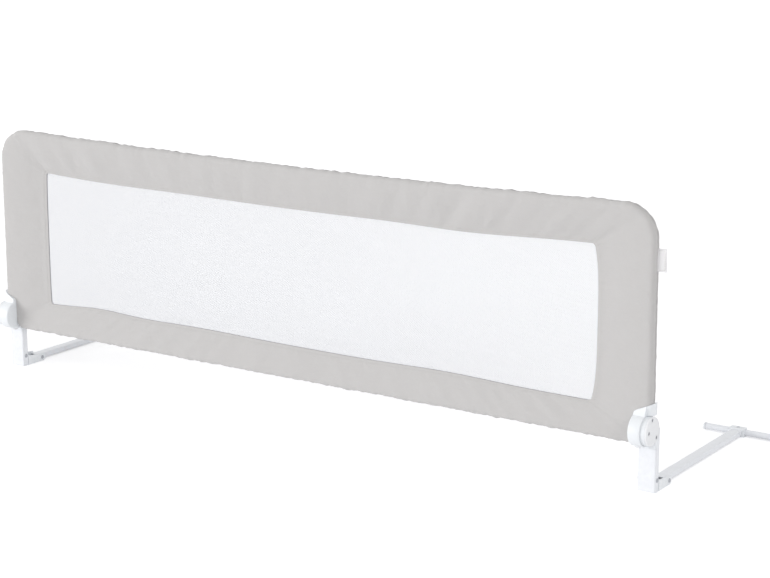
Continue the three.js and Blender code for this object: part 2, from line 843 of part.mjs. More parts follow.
// Return spring: one unbroken round wire from the floor of the button's pocket up to the boss
function releaseSpring() {
  const low = springFloor + fit + springWire;
  const high = pivotZ - bossRadius - fit - springWire;
  const steps = springTurns * springSteps;
  const rings = [];
  for (let step = 0; step <= steps; step++) {
    const angle = (step / springSteps) * Math.PI * 2;
    const [cosine, sine] = [Math.cos(angle), Math.sin(angle)];
    const z = low + (high - low) * (step / steps);
    for (let side = 0; side < springSides; side++) {
      const roll = (side / springSides) * Math.PI * 2;
      const radius = springRadius + springWire * Math.cos(roll);
      rings.push(buttonX + radius * cosine, pivotY + radius * sine, z + springWire * Math.sin(roll));
    }
  }
  const index = [];
  for (let step = 0; step < steps; step++) {
    for (let side = 0; side < springSides; side++) {
      const after = (side + 1) % springSides;
      const [a, b] = [step * springSides + side, step * springSides + after];
      index.push(a, b, a + springSides, b, b + springSides, a + springSides);
    }
  }
  const last = steps * springSides;
  for (let side = 1; side < springSides - 1; side++) {
    index.push(0, side + 1, side, last, last + side, last + side + 1);
  }
  const geometry = new THREE.BufferGeometry();
  geometry.setAttribute("position", new THREE.Float32BufferAttribute(rings, 3));
  const leastGap = (high - low) / springTurns - 2 * springWire;
  console.log(`least gap between the release spring's turns: ${leastGap.toFixed(2)} mm`);
  return solid(geometry.setIndex(index));
}
pair("release_spring", releaseSpring(), springSteel);

// Post: a flat-sided tube with a notch at its foot for the bracket's tongue

const rivetHole = (y, z) =>
  rodX(postInner - overrun, postOuter + overrun, rivetRadius + fit, y, z, smallSides);

function post() {
  const wall = prismZ(roundedRectangle(postWidth, postDepth, postCorner, postX, postY), 0, postTop);
  const hollow = prismZ(insidePost(0), -overrun, postTop + overrun);
  const notch = block(
    [postX - tongueWidth / 2 - fit, postX + tongueWidth / 2 + fit],
    [postY, postBack + overrun],
    [-overrun, tongueHeight + fit],
  );
  return cut(wall, hollow, notch, rivetHole(postY, postRivetHeight));
}
pair("post", post(), paintedSteel);

// Foot bracket: a plug in the post, and a channel with sloping walls that holds the end of the flat bar

function footBracket() {
  const front = postBack + fit;
  const plug = prismZ(insidePost(fit), 0, bracketPlugHeight);
  const pocket = prismZ(insidePost(fit + plugWall), tongueHeight, bracketPlugHeight + overrun);
  const tongue = block(
    [postX - tongueWidth / 2, postX + tongueWidth / 2],
    [postY, front + bracketWall],
    [0, tongueHeight],
  );
  const side = new THREE.Shape();
  side.moveTo(front, 0);
  side.lineTo(bracketBack - bracketCorner, 0);
  side.absarc(bracketBack - bracketCorner, bracketCorner, bracketCorner, -Math.PI / 2, 0);
  side.absarc(
    bracketBack - bracketCorner,
    bracketRearHeight - bracketCorner,
    bracketCorner,
    0,
    Math.PI / 2,
  );
  side.lineTo(front, bracketHeight);
  const body = prismX(side, postInner, postOuter);
  const channel = block(
    [postInner + bracketWall, postOuter - bracketWall],
    [front + bracketWall, bracketBack + overrun],
    [bracketFloor, bracketHeight + overrun],
  );
  const bosses = [
    rodX(postInner + fit, postX - barWidth / 2 - fit, barBossRadius, barRivetY, barZ, smallSides),
    rodX(postX + barWidth / 2 + fit, postOuter - fit, barBossRadius, barRivetY, barZ, smallSides),
  ];
  const holes = [rivetHole(postY, postRivetHeight), rivetHole(barRivetY, barZ)];
  return cut(join(cut(plug, pocket), tongue, cut(body, channel), ...bosses), ...holes);
}
pair("foot_bracket", footBracket(), whitePlastic);

function rivet(y, z) {
  const [inner, outer] = [postInner - fit, postOuter + fit];
  const crown = rivetHeadRadius * rivetCrownShare;
  const profile = [
    [inner - rivetHeadHeight, 0],
    [inner - rivetHeadHeight, crown],
    [inner, rivetHeadRadius],
    [inner, rivetRadius],
    [outer, rivetRadius],
    [outer, rivetHeadRadius],
    [outer + rivetHeadHeight, crown],
    [outer + rivetHeadHeight, 0],
  ];
  return turned(profile, "x", [0, y, z], smallSides);
}
pair("post_rivet", rivet(postY, postRivetHeight), zincSteel);
pair("bar_rivet", rivet(barRivetY, barZ), zincSteel);

// Flat bar: its near end is cut round about the rivet, so that it can swing up in the channel

function flatBar() {
  const nearEnd = barRivetY - barHeight / 2;
  const section = roundedRectangle(barHeight, barWidth, barCorner, barZ, postX);
  const [height, width] = [barHeight, barWidth].map((size) => size - 2 * barWall);
  section.holes.push(roundedRectangle(height, width, barCorner - barWall, barZ, postX));
  const tube = prismY(section, nearEnd, barEndY);
  const trim = cut(
    block([postInner, postOuter], [nearEnd - overrun, barRivetY], [0, barZ + barHeight]),
    rodX(postInner - overrun, postOuter + overrun, barHeight / 2, barRivetY, barZ, smallSides * 2),
  );
  return cut(tube, trim, rivetHole(barRivetY, barZ));
}
pair("flat_bar", flatBar(), paintedSteel);

// Connector: a plug in the bar and a saddle round the cross tube, which it also stands on

function crossConnector() {
  const plug = prismY(
    roundedRectangle(
      barHeight - 2 * (barWall + fit),
      barWidth - 2 * (barWall + fit),
      barCorner - barWall,
      barZ,
      postX,
    ),
    barEndY - connectorPlugLength,
    connectorFront + connectorWall,
  );
  const side = outline([
    [connectorFront, 0],
    [connectorBack - connectorChamfer, 0],
    [connectorBack, connectorChamfer],
    [connectorBack, connectorTop - connectorCorner],
    [connectorBack - connectorCorner, connectorTop],
    [connectorFront + connectorChamfer, connectorTop],
    [connectorFront, connectorTop - connectorChamfer],
  ]);
  const body = prismX(side, postX - connectorWidth / 2, postX + connectorWidth / 2);
  const bore = rodX(
    postX - connectorWidth,
    postX + connectorWidth,
    crossRadius + fit,
    crossY,
    crossZ,
    smallSides * 2,
  );
  const screwHole = rodZ(crossZ, connectorTop + overrun, screwRadius + fit, postX, crossY, smallSides);
  return cut(join(plug, body), bore, screwHole);
}
pair("cross_connector", crossConnector(), whitePlastic);

function crossTube() {
  const half = crossLength / 2 - capHeadLength - fit;
  const tube = rodX(postX - half, postX + half, crossRadius, crossY, crossZ, smallSides * 2);
  const hollow = rodX(
    postX - half - overrun,
    postX + half + overrun,
    crossRadius - crossWall,
    crossY,
    crossZ,
    smallSides,
  );
  const screwHole = rodZ(crossZ, connectorTop, screwRadius + fit, postX, crossY, smallSides);
  return cut(tube, hollow, screwHole);
}
pair("cross_tube", crossTube(), paintedSteel);

function connectorScrew() {
  const headBase = connectorTop + fit;
  const profile = [
    [crossZ + fit, 0],
    [crossZ + fit, screwRadius],
    [headBase, screwRadius],
    [headBase, screwHeadRadius],
    [headBase + screwHeadHeight / 2, screwHeadRadius],
    [headBase + screwHeadHeight, screwHeadRadius / 2],
    [headBase + screwHeadHeight, 0],
  ];
  return turned(profile, "z", [postX, crossY, 0], smallSides);
}
pair("connector_screw", connectorScrew(), zincSteel);

function crossCap() {
  const base = crossLength / 2 - capHeadLength;
  const tip = crossLength / 2;
  const profile = [
    [base - capPlugLength, 0],
    [base - capPlugLength, crossRadius - crossWall - fit],
    [base, crossRadius - crossWall - fit],
    [base, capHeadRadius],
    [tip - capHeadLength / 2, capHeadRadius],
    [tip, capHeadRadius / 2],
    [tip, 0],
  ];
  return turned(profile, "x", [0, 0, 0], smallSides);
}
pair("cross_cap_outer", crossCap().translate([postX, crossY, crossZ]), whitePlastic);
pair("cross_cap_inner", mirrored(crossCap()).translate([postX, crossY, crossZ]), whitePlastic);

// The origin lies under the middle of the whole: halfway from the front of the drums to the connectors
rail.position.y = -(pivotY - drumRadius + connectorBack) / 2;

export default rail;
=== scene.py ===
import json
import math

import bmesh
import bpy
import numpy as np
from bpy.props import FloatProperty, FloatVectorProperty, IntProperty, PointerProperty
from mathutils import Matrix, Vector
from mathutils.bvhtree import BVHTree

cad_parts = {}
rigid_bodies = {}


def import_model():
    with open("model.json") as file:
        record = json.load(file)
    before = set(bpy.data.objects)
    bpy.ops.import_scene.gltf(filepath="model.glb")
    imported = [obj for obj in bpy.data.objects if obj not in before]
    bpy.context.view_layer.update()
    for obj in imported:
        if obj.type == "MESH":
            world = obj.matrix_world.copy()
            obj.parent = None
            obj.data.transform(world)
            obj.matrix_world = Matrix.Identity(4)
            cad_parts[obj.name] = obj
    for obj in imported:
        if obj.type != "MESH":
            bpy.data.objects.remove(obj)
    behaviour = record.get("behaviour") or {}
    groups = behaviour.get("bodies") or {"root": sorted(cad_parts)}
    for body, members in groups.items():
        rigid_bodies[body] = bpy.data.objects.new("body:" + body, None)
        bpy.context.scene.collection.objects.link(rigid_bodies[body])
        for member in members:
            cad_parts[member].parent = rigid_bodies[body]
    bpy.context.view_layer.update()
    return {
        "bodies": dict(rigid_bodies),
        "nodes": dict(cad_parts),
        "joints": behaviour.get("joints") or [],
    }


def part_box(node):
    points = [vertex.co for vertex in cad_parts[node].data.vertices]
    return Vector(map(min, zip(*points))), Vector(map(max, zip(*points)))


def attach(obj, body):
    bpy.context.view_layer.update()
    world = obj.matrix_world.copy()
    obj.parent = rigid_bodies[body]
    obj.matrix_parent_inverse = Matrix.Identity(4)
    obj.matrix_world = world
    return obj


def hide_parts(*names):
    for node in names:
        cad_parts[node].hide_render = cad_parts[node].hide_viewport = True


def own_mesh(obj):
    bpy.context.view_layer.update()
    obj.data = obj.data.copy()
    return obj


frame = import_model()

# Folding bed guard rail. A woven cover with a net window is stretched on a tube frame, which folds
# down on two side hinges. Metres, X along the panel, +Y into the bed, +Z up. Right-hand pieces are
# at positive X.

bl_info = {
    "name": "Folding Bed Guard Rail",
    "version": (1, 0, 0),
    "blender": (4, 5, 0),
    "location": "3D View > Sidebar > Bed Guard",
    "description": "Builds a folding bed guard rail with a woven cover, a net window and hinges",
    "category": "Add Mesh",
}

CLOTH_MAP = "Cloth"
MM = 0.001
FIT = 0.3 * MM
OVERRUN = 4 * MM

# Places taken from the frame

LOWEST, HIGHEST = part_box("fabric_cover")
HALF_LENGTH = HIGHEST.x
TUBE_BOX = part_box("bottom_tube")
PLANE_Y = (TUBE_BOX[0].y + TUBE_BOX[1].y) / 2
TUBE_RADIUS = (TUBE_BOX[1].y - TUBE_BOX[0].y) / 2
TUBE_Z = (TUBE_BOX[0].z + TUBE_BOX[1].z) / 2
POST_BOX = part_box("right_post")
POST_X, POST_Y, _ = (POST_BOX[0] + POST_BOX[1]) / 2
JOINTS = {joint["name"]: joint for joint in frame["joints"]}
PIVOT = Vector(JOINTS["guard_fold"]["pos_m"])
BAR_PIVOT = Vector(JOINTS["right_bar_fold"]["pos_m"])

# Sizes of hidden or small parts, as the solids have them

BOLT_RADIUS = 4 * MM
SPIGOT_RADIUS = TUBE_RADIUS - 1.5 * MM
PIN_RADIUS = 2.5 * MM
PIN_HOLE_RADIUS = 2.8 * MM
SHANK_RADIUS = 1.7 * MM
POINT_RADIUS = 0.9 * MM
POINT_LENGTH = 0.8 * MM

# Sides of round parts, from discs to small holes

DISC_SIDES = 128
RING_SIDES = 96
TUBE_SIDES = 64
ROD_SIDES = 48
PIN_SIDES = 40
HOLE_SIDES = 32


def linear(red, green, blue):
    """Scene-linear colour of a display colour from 0 to 255."""
    shares = [value / 255 for value in (red, green, blue)]
    return [
        share / 12.92 if share <= 0.04045 else ((share + 0.055) / 1.055) ** 2.4 for share in shares
    ]


def length(name, description, millimetres, least=0.0):
    return FloatProperty(
        name=name,
        description=description,
        default=millimetres * MM,
        min=least,
        subtype="DISTANCE",
        unit="LENGTH",
    )


def angle(name, description, degrees):
    return FloatProperty(
        name=name, description=description, default=math.radians(degrees), subtype="ANGLE"
    )


def amount(name, description, default, least=0.0, unit="NONE"):
    return FloatProperty(name=name, description=description, default=default, min=least, unit=unit)


def colour(name, description, *display):
    return FloatVectorProperty(
        name=name,
        description=description,
        default=linear(*display),
        min=0,
        max=1,
        size=3,
        subtype="COLOR",
    )


class GuardCover(bpy.types.PropertyGroup):
    sleeve_radius: length("Sleeve radius", "Outer radius of the cloth round the tube", 12)
    side_band: length("Side band", "Cloth from the side edge to the window", 119)
    top_band: length("Top band", "Cloth from the top edge to the window", 79)
    bottom_band: length("Bottom band", "Cloth from the bottom edge to the window", 62)
    top_corner: length("Top corner radius", "Radius of the two upper corners", 62)
    low_corner: length("Lower corner radius", "Radius of the two lower corners", 25)
    window_corner: length("Window corner radius", "Radius of the window's corners", 6)
    top_sag: length("Top sag", "How far the top edge sags in the middle", 8.5)
    foot_flare: length(
        "Foot flare", "How far the sleeve stands off at the foot of the right side", 3.5
    )
    right_bow: length("Right bow", "Outward bow of the window's right edge", 9.5)
    left_bow: length("Left bow", "Outward bow of the window's left edge", 2)
    cloth: length("Cloth", "Thickness of the woven cloth", 0.9)
    hem_width: length("Hem width", "Width of the folded hem round the window", 9)
    hem_step: length("Hem step", "How far the folded hem stands up", 0.5)
    hem_gap: length("Hem half gap", "Half the thickness of the hem at the window", 0.95)
    pucker: length("Pucker depth", "Depth of the soft folds across the bands", 2.4)
    gather: length("Gather depth", "Depth of the small gathers along the seams", 1.0)
    drift: length("Edge drift", "Unevenness of the outer edge", 1.6)
    fullness: amount("Fullness", "Squareness of the sleeve, 2 for round", 2.8, 2)
    cut_height: length("Side opening", "Height of the opening for the hinge", 63)
    cut_rise: length("Opening rise", "How far the opening's upper edge climbs outward", 12)
    cut_corner: length("Opening corner radius", "Radius of the cloth beside the drum", 22)
    cut_bend: length("Opening bend", "Radius of the opening's upper bend and of the neck in it", 9)
    stitch: length("Stitch length", "Length of one stitch", 3)
    seam_inset: length("Seam inset", "Distance of the stitches from a cut edge", 4)
    tint: colour("Cloth colour", "Colour of the woven cloth", 198, 196, 195)
    thread_tint: colour("Thread colour", "Colour of the sewing thread", 196, 194, 190)
    threads: amount("Threads per metre", "Threads of the weave", 1500, 100)


class GuardNet(bpy.types.PropertyGroup):
    pitch: length("Net pitch", "Distance between threads of one direction", 2.7, 0.0005)
    thread: length("Thread radius", "Radius of a thread of the net", 0.3)
    segment: length("Segment", "Length of one straight stretch of thread", 16, 0.002)
    slope: angle("Thread slope", "Angle to the horizontal", 54)
    margin: length("Margin", "How far the net reaches into the hem", 6)
    wave: length("Wave", "Depth of the net's slack", 0.8)
    tint: colour("Net colour", "Colour of the net", 214, 217, 225)


class GuardLabel(bpy.types.PropertyGroup):
    cloth: length("Tape", "Thickness of the woven tape", 0.5)
    border: length("Border", "Distance of the stitches from the tape's edge", 3)
    tint: colour("Tape colour", "Colour of the bare tape", 238, 237, 238)


class GuardHinge(bpy.types.PropertyGroup):
    drum_radius: length("Drum radius", "Radius of the drum on the guard", 29)
    drum_width: length("Drum width", "Width of the drum", 22.7)
    drum_wall: length("Drum wall", "Wall of the drum", 2.5)
    collar_radius: length("Collar radius", "Outer radius of the collar round the tube", 12)
    ear_radius: length("Ear radius", "Radius of the ear on the post", 26)
    ear_width: length("Ear width", "Thickness of the ear", 8)
    plate_width: length("Plate thickness", "Thickness of the cover plate", 3.7)
    rim: length("Rim", "Rounding of the drum's rim", 1.8)
    neck_turn: angle("Neck turn", "Where the neck's front leaves the drum, from the horizontal", 70)
    edge: length("Edge", "Rounding of moulded edges", 0.8)
    screw_radius: length("Screw head radius", "Radius of a cover screw's head", 3.2)
    wire_radius: length("Wire radius", "Radius of the spring's wire", 0.45)
    coils: IntProperty(name="Coils", description="Turns of the return spring", default=5, min=1)
    plastic: colour("Plastic colour", "Colour of the moulded parts", 234, 237, 240)
    plate: colour("Plate colour", "Colour of the cover plate and key", 209, 211, 216)


class GuardLegs(bpy.types.PropertyGroup):
    post_corner: length("Post corner radius", "Corner radius of the post", 3)
    post_wall: length("Post wall", "Wall of the post", 1.5)
    bar_corner: length("Bar corner radius", "Corner radius of the flat bar", 2.5)
    bar_wall: length("Bar wall", "Wall of the flat bar", 1.2)
    shoe_corner: length("Shoe corner radius", "Corner radius at the bracket's end", 6)
    shoe_wall: length("Shoe wall", "Wall of the bracket's channel", 3)
    edge: length("Edge", "Rounding of moulded edges", 0.7)
    paint: colour("Paint colour", "Colour of the powder coat", 236, 238, 242)
    zinc: colour("Zinc colour", "Colour of plated fasteners", 168, 170, 176)


class GuardStage(bpy.types.PropertyGroup):
    floor: colour("Floor colour", "Colour of the floor", 246, 246, 247)
    brink: length("Brink", "From the posts to the step in the floor", 7)
    drop: length("Drop", "Height of the step, more than the folded guard reaches down", 330)
    ambient: amount("Ambient", "Light of the surroundings", 0.75)
    key: amount("Key lamp", "Power of the key lamp", 1000, unit="POWER")
    fill: amount("Fill lamp", "Power of the fill lamp", 38, unit="POWER")
    lens: amount("Lens", "Focal length", 95.27, 1, "CAMERA")
    distance: length("Distance", "From the lens to the target", 3759)
    azimuth: angle("Azimuth", "Camera's turn round the rail", 33.51)
    elevation: angle("Elevation", "Camera's height angle", 13.48)


SETTINGS = {
    "guard_cover": GuardCover,
    "guard_net": GuardNet,
    "guard_label": GuardLabel,
    "guard_hinge": GuardHinge,
    "guard_legs": GuardLegs,
    "guard_stage": GuardStage,
}


# Modelling steps


def deselect():
    if bpy.context.mode != "OBJECT":
        bpy.ops.object.mode_set(mode="OBJECT")
    bpy.ops.object.select_all(action="DESELECT")


def alone(obj):
    deselect()
    bpy.context.view_layer.objects.active = obj
    obj.select_set(True)


def apply_place(obj):
    alone(obj)
    bpy.ops.object.transform_apply(location=True, rotation=True, scale=True)


def begin(kind, name, **options):
    """A primitive, added with nothing else selected, its place in its mesh."""
    deselect()
    getattr(bpy.ops.mesh, f"primitive_{kind}_add")(**options)
    obj = bpy.context.object
    obj.name = obj.data.name = name
    apply_place(obj)
    return obj


def block(name, low, high):
    low, high = Vector(low), Vector(high)
    return begin("cube", name, size=1, location=(low + high) / 2, scale=high - low)


def placed(axis, along, across):
    """Location and rotation of a round primitive that lies along X, Y or Z."""
    return {
        "X": {"location": (along, *across), "rotation": (0, math.pi / 2, 0)},
        "Y": {"location": (across[0], along, across[1]), "rotation": (math.pi / 2, 0, 0)},
        "Z": {"location": (*across, along), "rotation": (0, 0, 0)},
    }[axis]


def rod(name, axis, start, end, radius, across, sides=RING_SIDES):
    """A cylinder along X, Y or Z, at the given place on the other two axes."""
    place = placed(axis, (start + end) / 2, across)
    return begin("cylinder", name, vertices=sides, radius=radius, depth=end - start, **place)


def middle(item):
    if isinstance(item, bmesh.types.BMVert):
        return item.co.copy()
    return sum((v.co for v in item.verts), Vector()) / len(item.verts)


def way(edge):
    return (edge.verts[1].co - edge.verts[0].co).normalized()


def runs(edge, axis):
    """Whether an edge runs mainly along X, Y or Z."""
    return abs(getattr(way(edge), axis)) > 0.5


def around_x(edge):
    return not runs(edge, "x")


def lengthways(edge):
    return runs(edge, "y")


def upright(edge):
    return runs(edge, "z")


def centre_of(node, axes="yz"):
    """Middle of a node's box on two axes."""
    low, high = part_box(node)
    return tuple((getattr(low, axis) + getattr(high, axis)) / 2 for axis in axes)


def choose(obj, kind, test=lambda item: True):
    """Edit mode, with the vertices, edges or faces selected that pass the test, or all of them."""
    alone(obj)
    bpy.ops.object.mode_set(mode="EDIT")
    bpy.ops.mesh.select_mode(type=kind)
    bpy.ops.mesh.select_all(action="DESELECT")
    mesh = bmesh.from_edit_mesh(obj.data)
    for item in {"VERT": mesh.verts, "EDGE": mesh.edges, "FACE": mesh.faces}[kind]:
        if test(item):
            item.select_set(True)
    mesh.select_flush_mode()
    bmesh.update_edit_mesh(obj.data)


def leave():
    bpy.ops.object.mode_set(mode="OBJECT")


def move(obj, kind, test, *shift):
    """Moves the vertices, edges or faces that pass the test."""
    choose(obj, kind, test)
    bpy.ops.transform.translate(value=shift)
    leave()


def face_outward(obj):
    choose(obj, "FACE")
    bpy.ops.mesh.normals_make_consistent(inside=False)
    leave()


def shade_smooth(obj):
    for polygon in obj.data.polygons:
        polygon.use_smooth = True


def round_edges(obj, test, radius, segments=3):
    choose(obj, "EDGE", test)
    bpy.ops.mesh.bevel(
        offset=radius, offset_type="OFFSET", segments=segments, profile=0.5, affect="EDGES"
    )
    leave()


def slice_off(obj, place, normal):
    """Cuts off what lies on the normal's side and closes the cut."""
    choose(obj, "FACE")
    bpy.ops.mesh.bisect(plane_co=place, plane_no=normal, use_fill=True, clear_outer=True)
    leave()


def finish_with(obj, kind, **settings):
    alone(obj)
    modifier = obj.modifiers.new(kind.title(), kind)
    for name, value in settings.items():
        setattr(modifier, name, value)
    bpy.ops.object.modifier_apply(modifier=modifier.name)


def combine(obj, *tools, operation="UNION"):
    for tool in tools:
        finish_with(obj, "BOOLEAN", operation=operation, object=tool, solver="EXACT")
        mesh = tool.data
        bpy.data.objects.remove(tool)
        bpy.data.meshes.remove(mesh)
    return obj


def carve(obj, *tools):
    return combine(obj, *tools, operation="DIFFERENCE")


def smooth(obj, degrees=35):
    alone(obj)
    bpy.ops.object.shade_smooth_by_angle(angle=math.radians(degrees))


def tidy(obj):
    choose(obj, "VERT")
    bpy.ops.mesh.remove_doubles(threshold=1e-6)
    bpy.ops.mesh.normals_make_consistent(inside=False)
    leave()


def turned(name, axis, profile, across, sides):
    """A disc drawn out through [place along the axis, radius], as on a lathe."""
    along = Vector({"X": (1, 0, 0), "Z": (0, 0, 1)}[axis])
    start, radius = profile[0]
    place = placed(axis, start, across)
    obj = begin("circle", name, vertices=sides, radius=radius, fill_type="NGON", **place)
    choose(obj, "FACE")
    centre = Vector(place["location"])
    for end, width in profile[1:]:
        bpy.ops.mesh.extrude_region_move(TRANSFORM_OT_translate={"value": along * (end - start)})
        centre += along * (end - start)
        bpy.ops.transform.resize(value=[width / radius] * 3, center_override=centre)
        start, radius = end, width
    leave()
    tidy(obj)
    return obj


def mirrored(obj, name, shift=0.0):
    """A copy with a mesh of its own, mirrored to the other side of the rail and moved along it."""
    alone(obj)
    bpy.ops.object.duplicate()
    other = bpy.context.object
    other.name = other.data.name = name
    other.location = (shift, 0, 0)
    other.scale = (-1, 1, 1)
    apply_place(other)
    tidy(other)
    return other


def put(obj, body, slot, material, *nodes):
    """Finishes a piece: its material, the body it rides on and the nodes it stands for."""
    obj.data.materials.clear()
    obj.data.materials.append(material)
    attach(obj, body)
    if nodes:
        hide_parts(*nodes)


def put_pair(obj, body, slot, material, node):
    """Finishes a right-hand piece and its mirrored copy. SIDE in the body's name is their side."""
    smooth(obj)
    left = mirrored(obj, obj.name.replace("right_", "left_"))
    for side, piece in (("right", obj), ("left", left)):
        put(piece, body.replace("SIDE", side), slot, material, f"{side}_{node}")


def mesh_object(name, points, faces, maps=None):
    """An object from points and faces, with a place on the cloth's map for each point if given."""
    mesh = bpy.data.meshes.new(name)
    mesh.from_pydata([tuple(point) for point in points], [], [tuple(face) for face in faces])
    if maps is not None:
        layer = mesh.uv_layers.new(name=CLOTH_MAP)
        corners = np.empty(len(mesh.loops), int)
        mesh.loops.foreach_get("vertex_index", corners)
        layer.data.foreach_set("uv", np.asarray(maps, np.float32)[corners].ravel())
    mesh.validate()
    obj = bpy.data.objects.new(name, mesh)
    bpy.context.scene.collection.objects.link(obj)
    return obj


# Node trees


def add(tree, kind, inputs=None, **settings):
    """Adds a node. An input is a plain value or another node's socket."""
    made = tree.nodes.new(kind)
    for name, value in settings.items():
        setattr(made, name, value)
    for name, value in (inputs or {}).items():
        if isinstance(value, bpy.types.NodeSocket):
            tree.links.new(value, made.inputs[name])
        else:
            made.inputs[name].default_value = value
    return made


def sum_up(tree, operation, *values, clamp=False):
    inputs = dict(enumerate(values))
    return add(tree, "ShaderNodeMath", inputs, operation=operation, use_clamp=clamp).outputs[0]


def noise(tree, place, detail, scale=5.0):
    """A cloudy value from 0 to 1."""
    inputs = {"Vector": place, "Scale": scale, "Detail": detail}
    return add(tree, "ShaderNodeTexNoise", inputs).outputs[0]


def stretched(tree, place, *scale):
    return add(tree, "ShaderNodeMapping", {0: place, 3: scale}).outputs[0]


def remap(tree, value, low=0.0, high=1.0, start=0.0, end=1.0):
    """Spreads what lies between start and end from low to high."""
    return add(tree, "ShaderNodeMapRange", {0: value, 1: start, 2: end, 3: low, 4: high}).outputs[0]


def mix_values(tree, factor, first, second):
    inputs = {0: factor, 2: first, 3: second}
    return add(tree, "ShaderNodeMix", inputs, data_type="FLOAT").outputs[0]


def blend_colours(tree, factor, first, second):
    """The mixed colour of two colours, each plain or a socket."""
    inputs = {0: factor, 6: first, 7: second}
    return add(tree, "ShaderNodeMix", inputs, data_type="RGBA").outputs[2]


def shaded(tint, share):
    return (*[channel * share for channel in tint], 1)


def group(name, inputs, outputs):
    """A new group's tree, the sockets that come in and those that go out."""
    tree = bpy.data.node_groups.new(name, "ShaderNodeTree")
    for label, (kind, default) in inputs.items():
        socket = tree.interface.new_socket(label, in_out="INPUT", socket_type=f"NodeSocket{kind}")
        if default is not None:
            socket.default_value = default
    for label in outputs:
        tree.interface.new_socket(label, in_out="OUTPUT", socket_type="NodeSocketFloat")
    return tree, tree.nodes.new("NodeGroupInput").outputs, tree.nodes.new("NodeGroupOutput").inputs


def plain_weave(name):
    """Threads over and under each other, from a place in metres."""
    tree, given, result = group(
        name,
        {"Place": ("Vector", None), "Threads": ("Float", 1500.0), "Slub": ("Float", 0.3)},
        ["Height", "Gap", "Tone"],
    )
    place = given["Place"]
    inputs = {0: place, "Scale": given["Threads"]}
    scaled = add(tree, "ShaderNodeVectorMath", inputs, operation="SCALE")
    axes = add(tree, "ShaderNodeSeparateXYZ", {0: scaled.outputs[0]}).outputs
    crowns, lines = [], []
    for axis in (axes[0], axes[1]):
        wave = sum_up(tree, "SINE", sum_up(tree, "MULTIPLY", axis, math.pi))
        crowns.append(sum_up(tree, "ABSOLUTE", wave))
        lines.append(sum_up(tree, "FLOOR", axis))
    check = sum_up(tree, "PINGPONG", sum_up(tree, "ADD", *lines), 1.0)
    over = mix_values(tree, check, *crowns)
    both = sum_up(tree, "MULTIPLY", *crowns)
    crown_shape, gap_shape = 0.3, 0.35
    arched = sum_up(tree, "SQRT", over)
    height = sum_up(tree, "MULTIPLY", arched, sum_up(tree, "POWER", both, crown_shape))
    along_thread, across_thread = 60, 900
    slub = noise(tree, stretched(tree, place, across_thread, along_thread, 1), 2.0)
    fibre = noise(tree, stretched(tree, place, along_thread, across_thread, 1), 2.0)
    tone = mix_values(tree, check, slub, fibre)
    uneven = sum_up(tree, "MULTIPLY", sum_up(tree, "SUBTRACT", tone, 0.5), given["Slub"])
    tree.links.new(sum_up(tree, "ADD", height, uneven), result["Height"])
    filled = sum_up(tree, "POWER", both, gap_shape)
    tree.links.new(sum_up(tree, "SUBTRACT", 1.0, filled), result["Gap"])
    tree.links.new(tone, result["Tone"])
    return tree


def soft_mottle(name):
    """Slow, cloudy change from 0 to 1."""
    tree, given, result = group(
        name,
        {"Place": ("Vector", None), "Scale": ("Float", 8.0), "Contrast": ("Float", 1.0)},
        ["Value"],
    )
    cloud = noise(tree, given["Place"], 3.0, given["Scale"])
    spread = sum_up(tree, "MULTIPLY", sum_up(tree, "SUBTRACT", cloud, 0.5), given["Contrast"])
    tree.links.new(sum_up(tree, "ADD", spread, 0.5, clamp=True), result["Value"])
    return tree


def crinkle(name):
    """The uneven, slightly creased lie of cloth, from a place in metres."""
    tree, given, result = group(
        name, {"Place": ("Vector", None), "Scale": ("Float", 34.0)}, ["Height"]
    )
    place, scale = given["Place"], given["Scale"]
    finer, fine_share = 4.3, 0.12
    bent = noise(tree, place, 3.0, scale)
    fine = noise(tree, place, 1.0, sum_up(tree, "MULTIPLY", scale, finer))
    tree.links.new(mix_values(tree, fine_share, bent, fine), result["Height"])
    return tree


def fine_grain(name):
    """The pebbled skin of a moulded or coated surface."""
    tree, given, result = group(
        name,
        {"Place": ("Vector", None), "Scale": ("Float", 1500.0), "Pebble": ("Float", 0.5)},
        ["Height"],
    )
    cells = {"Vector": given["Place"], "Scale": given["Scale"]}
    pebble = add(tree, "ShaderNodeTexVoronoi", cells, feature="SMOOTH_F1").outputs[0]
    skin = noise(tree, given["Place"], 2.0, given["Scale"])
    tree.links.new(mix_values(tree, given["Pebble"], skin, pebble), result["Height"])
    return tree


def edge_wear(name):
    """A mask that is 1 on worn outer edges."""
    tree, given, result = group(
        name,
        {"Place": ("Vector", None), "Amount": ("Float", 0.5), "Scale": ("Float", 120.0)},
        ["Mask"],
    )
    sharp = add(tree, "ShaderNodeNewGeometry").outputs["Pointiness"]
    edge = remap(tree, sharp, start=0.52, end=0.62)
    broken = remap(tree, noise(tree, given["Place"], 4.0, given["Scale"]), start=0.4, end=0.7)
    rubbed = sum_up(tree, "MULTIPLY", edge, broken)
    mask = sum_up(tree, "MULTIPLY", rubbed, given["Amount"], clamp=True)
    tree.links.new(mask, result["Mask"])
    return tree


def use(tree, make, **inputs):
    """An effect's outputs. Its node group is made when it is first used."""
    name = make.__name__.replace("_", " ").title()
    effect = bpy.data.node_groups.get(name) or make(name)
    return add(tree, "ShaderNodeGroup", inputs, node_tree=effect).outputs


# Materials


def shared(make):
    """Makes a material when its name is first used, and gives the same one after that."""

    def get(name, *values, **settings):
        return bpy.data.materials.get(name) or make(name, *values, **settings)

    return get


def surface(name, **plain):
    """A material with its Principled shader's uniform values set, ready for its patterns."""
    material = bpy.data.materials.new(name)
    material.use_nodes = True
    tree = material.node_tree
    shader = tree.nodes["Principled BSDF"]
    for label, value in plain.items():
        shader.inputs[label.replace("_", " ")].default_value = value
    return material, tree, shader


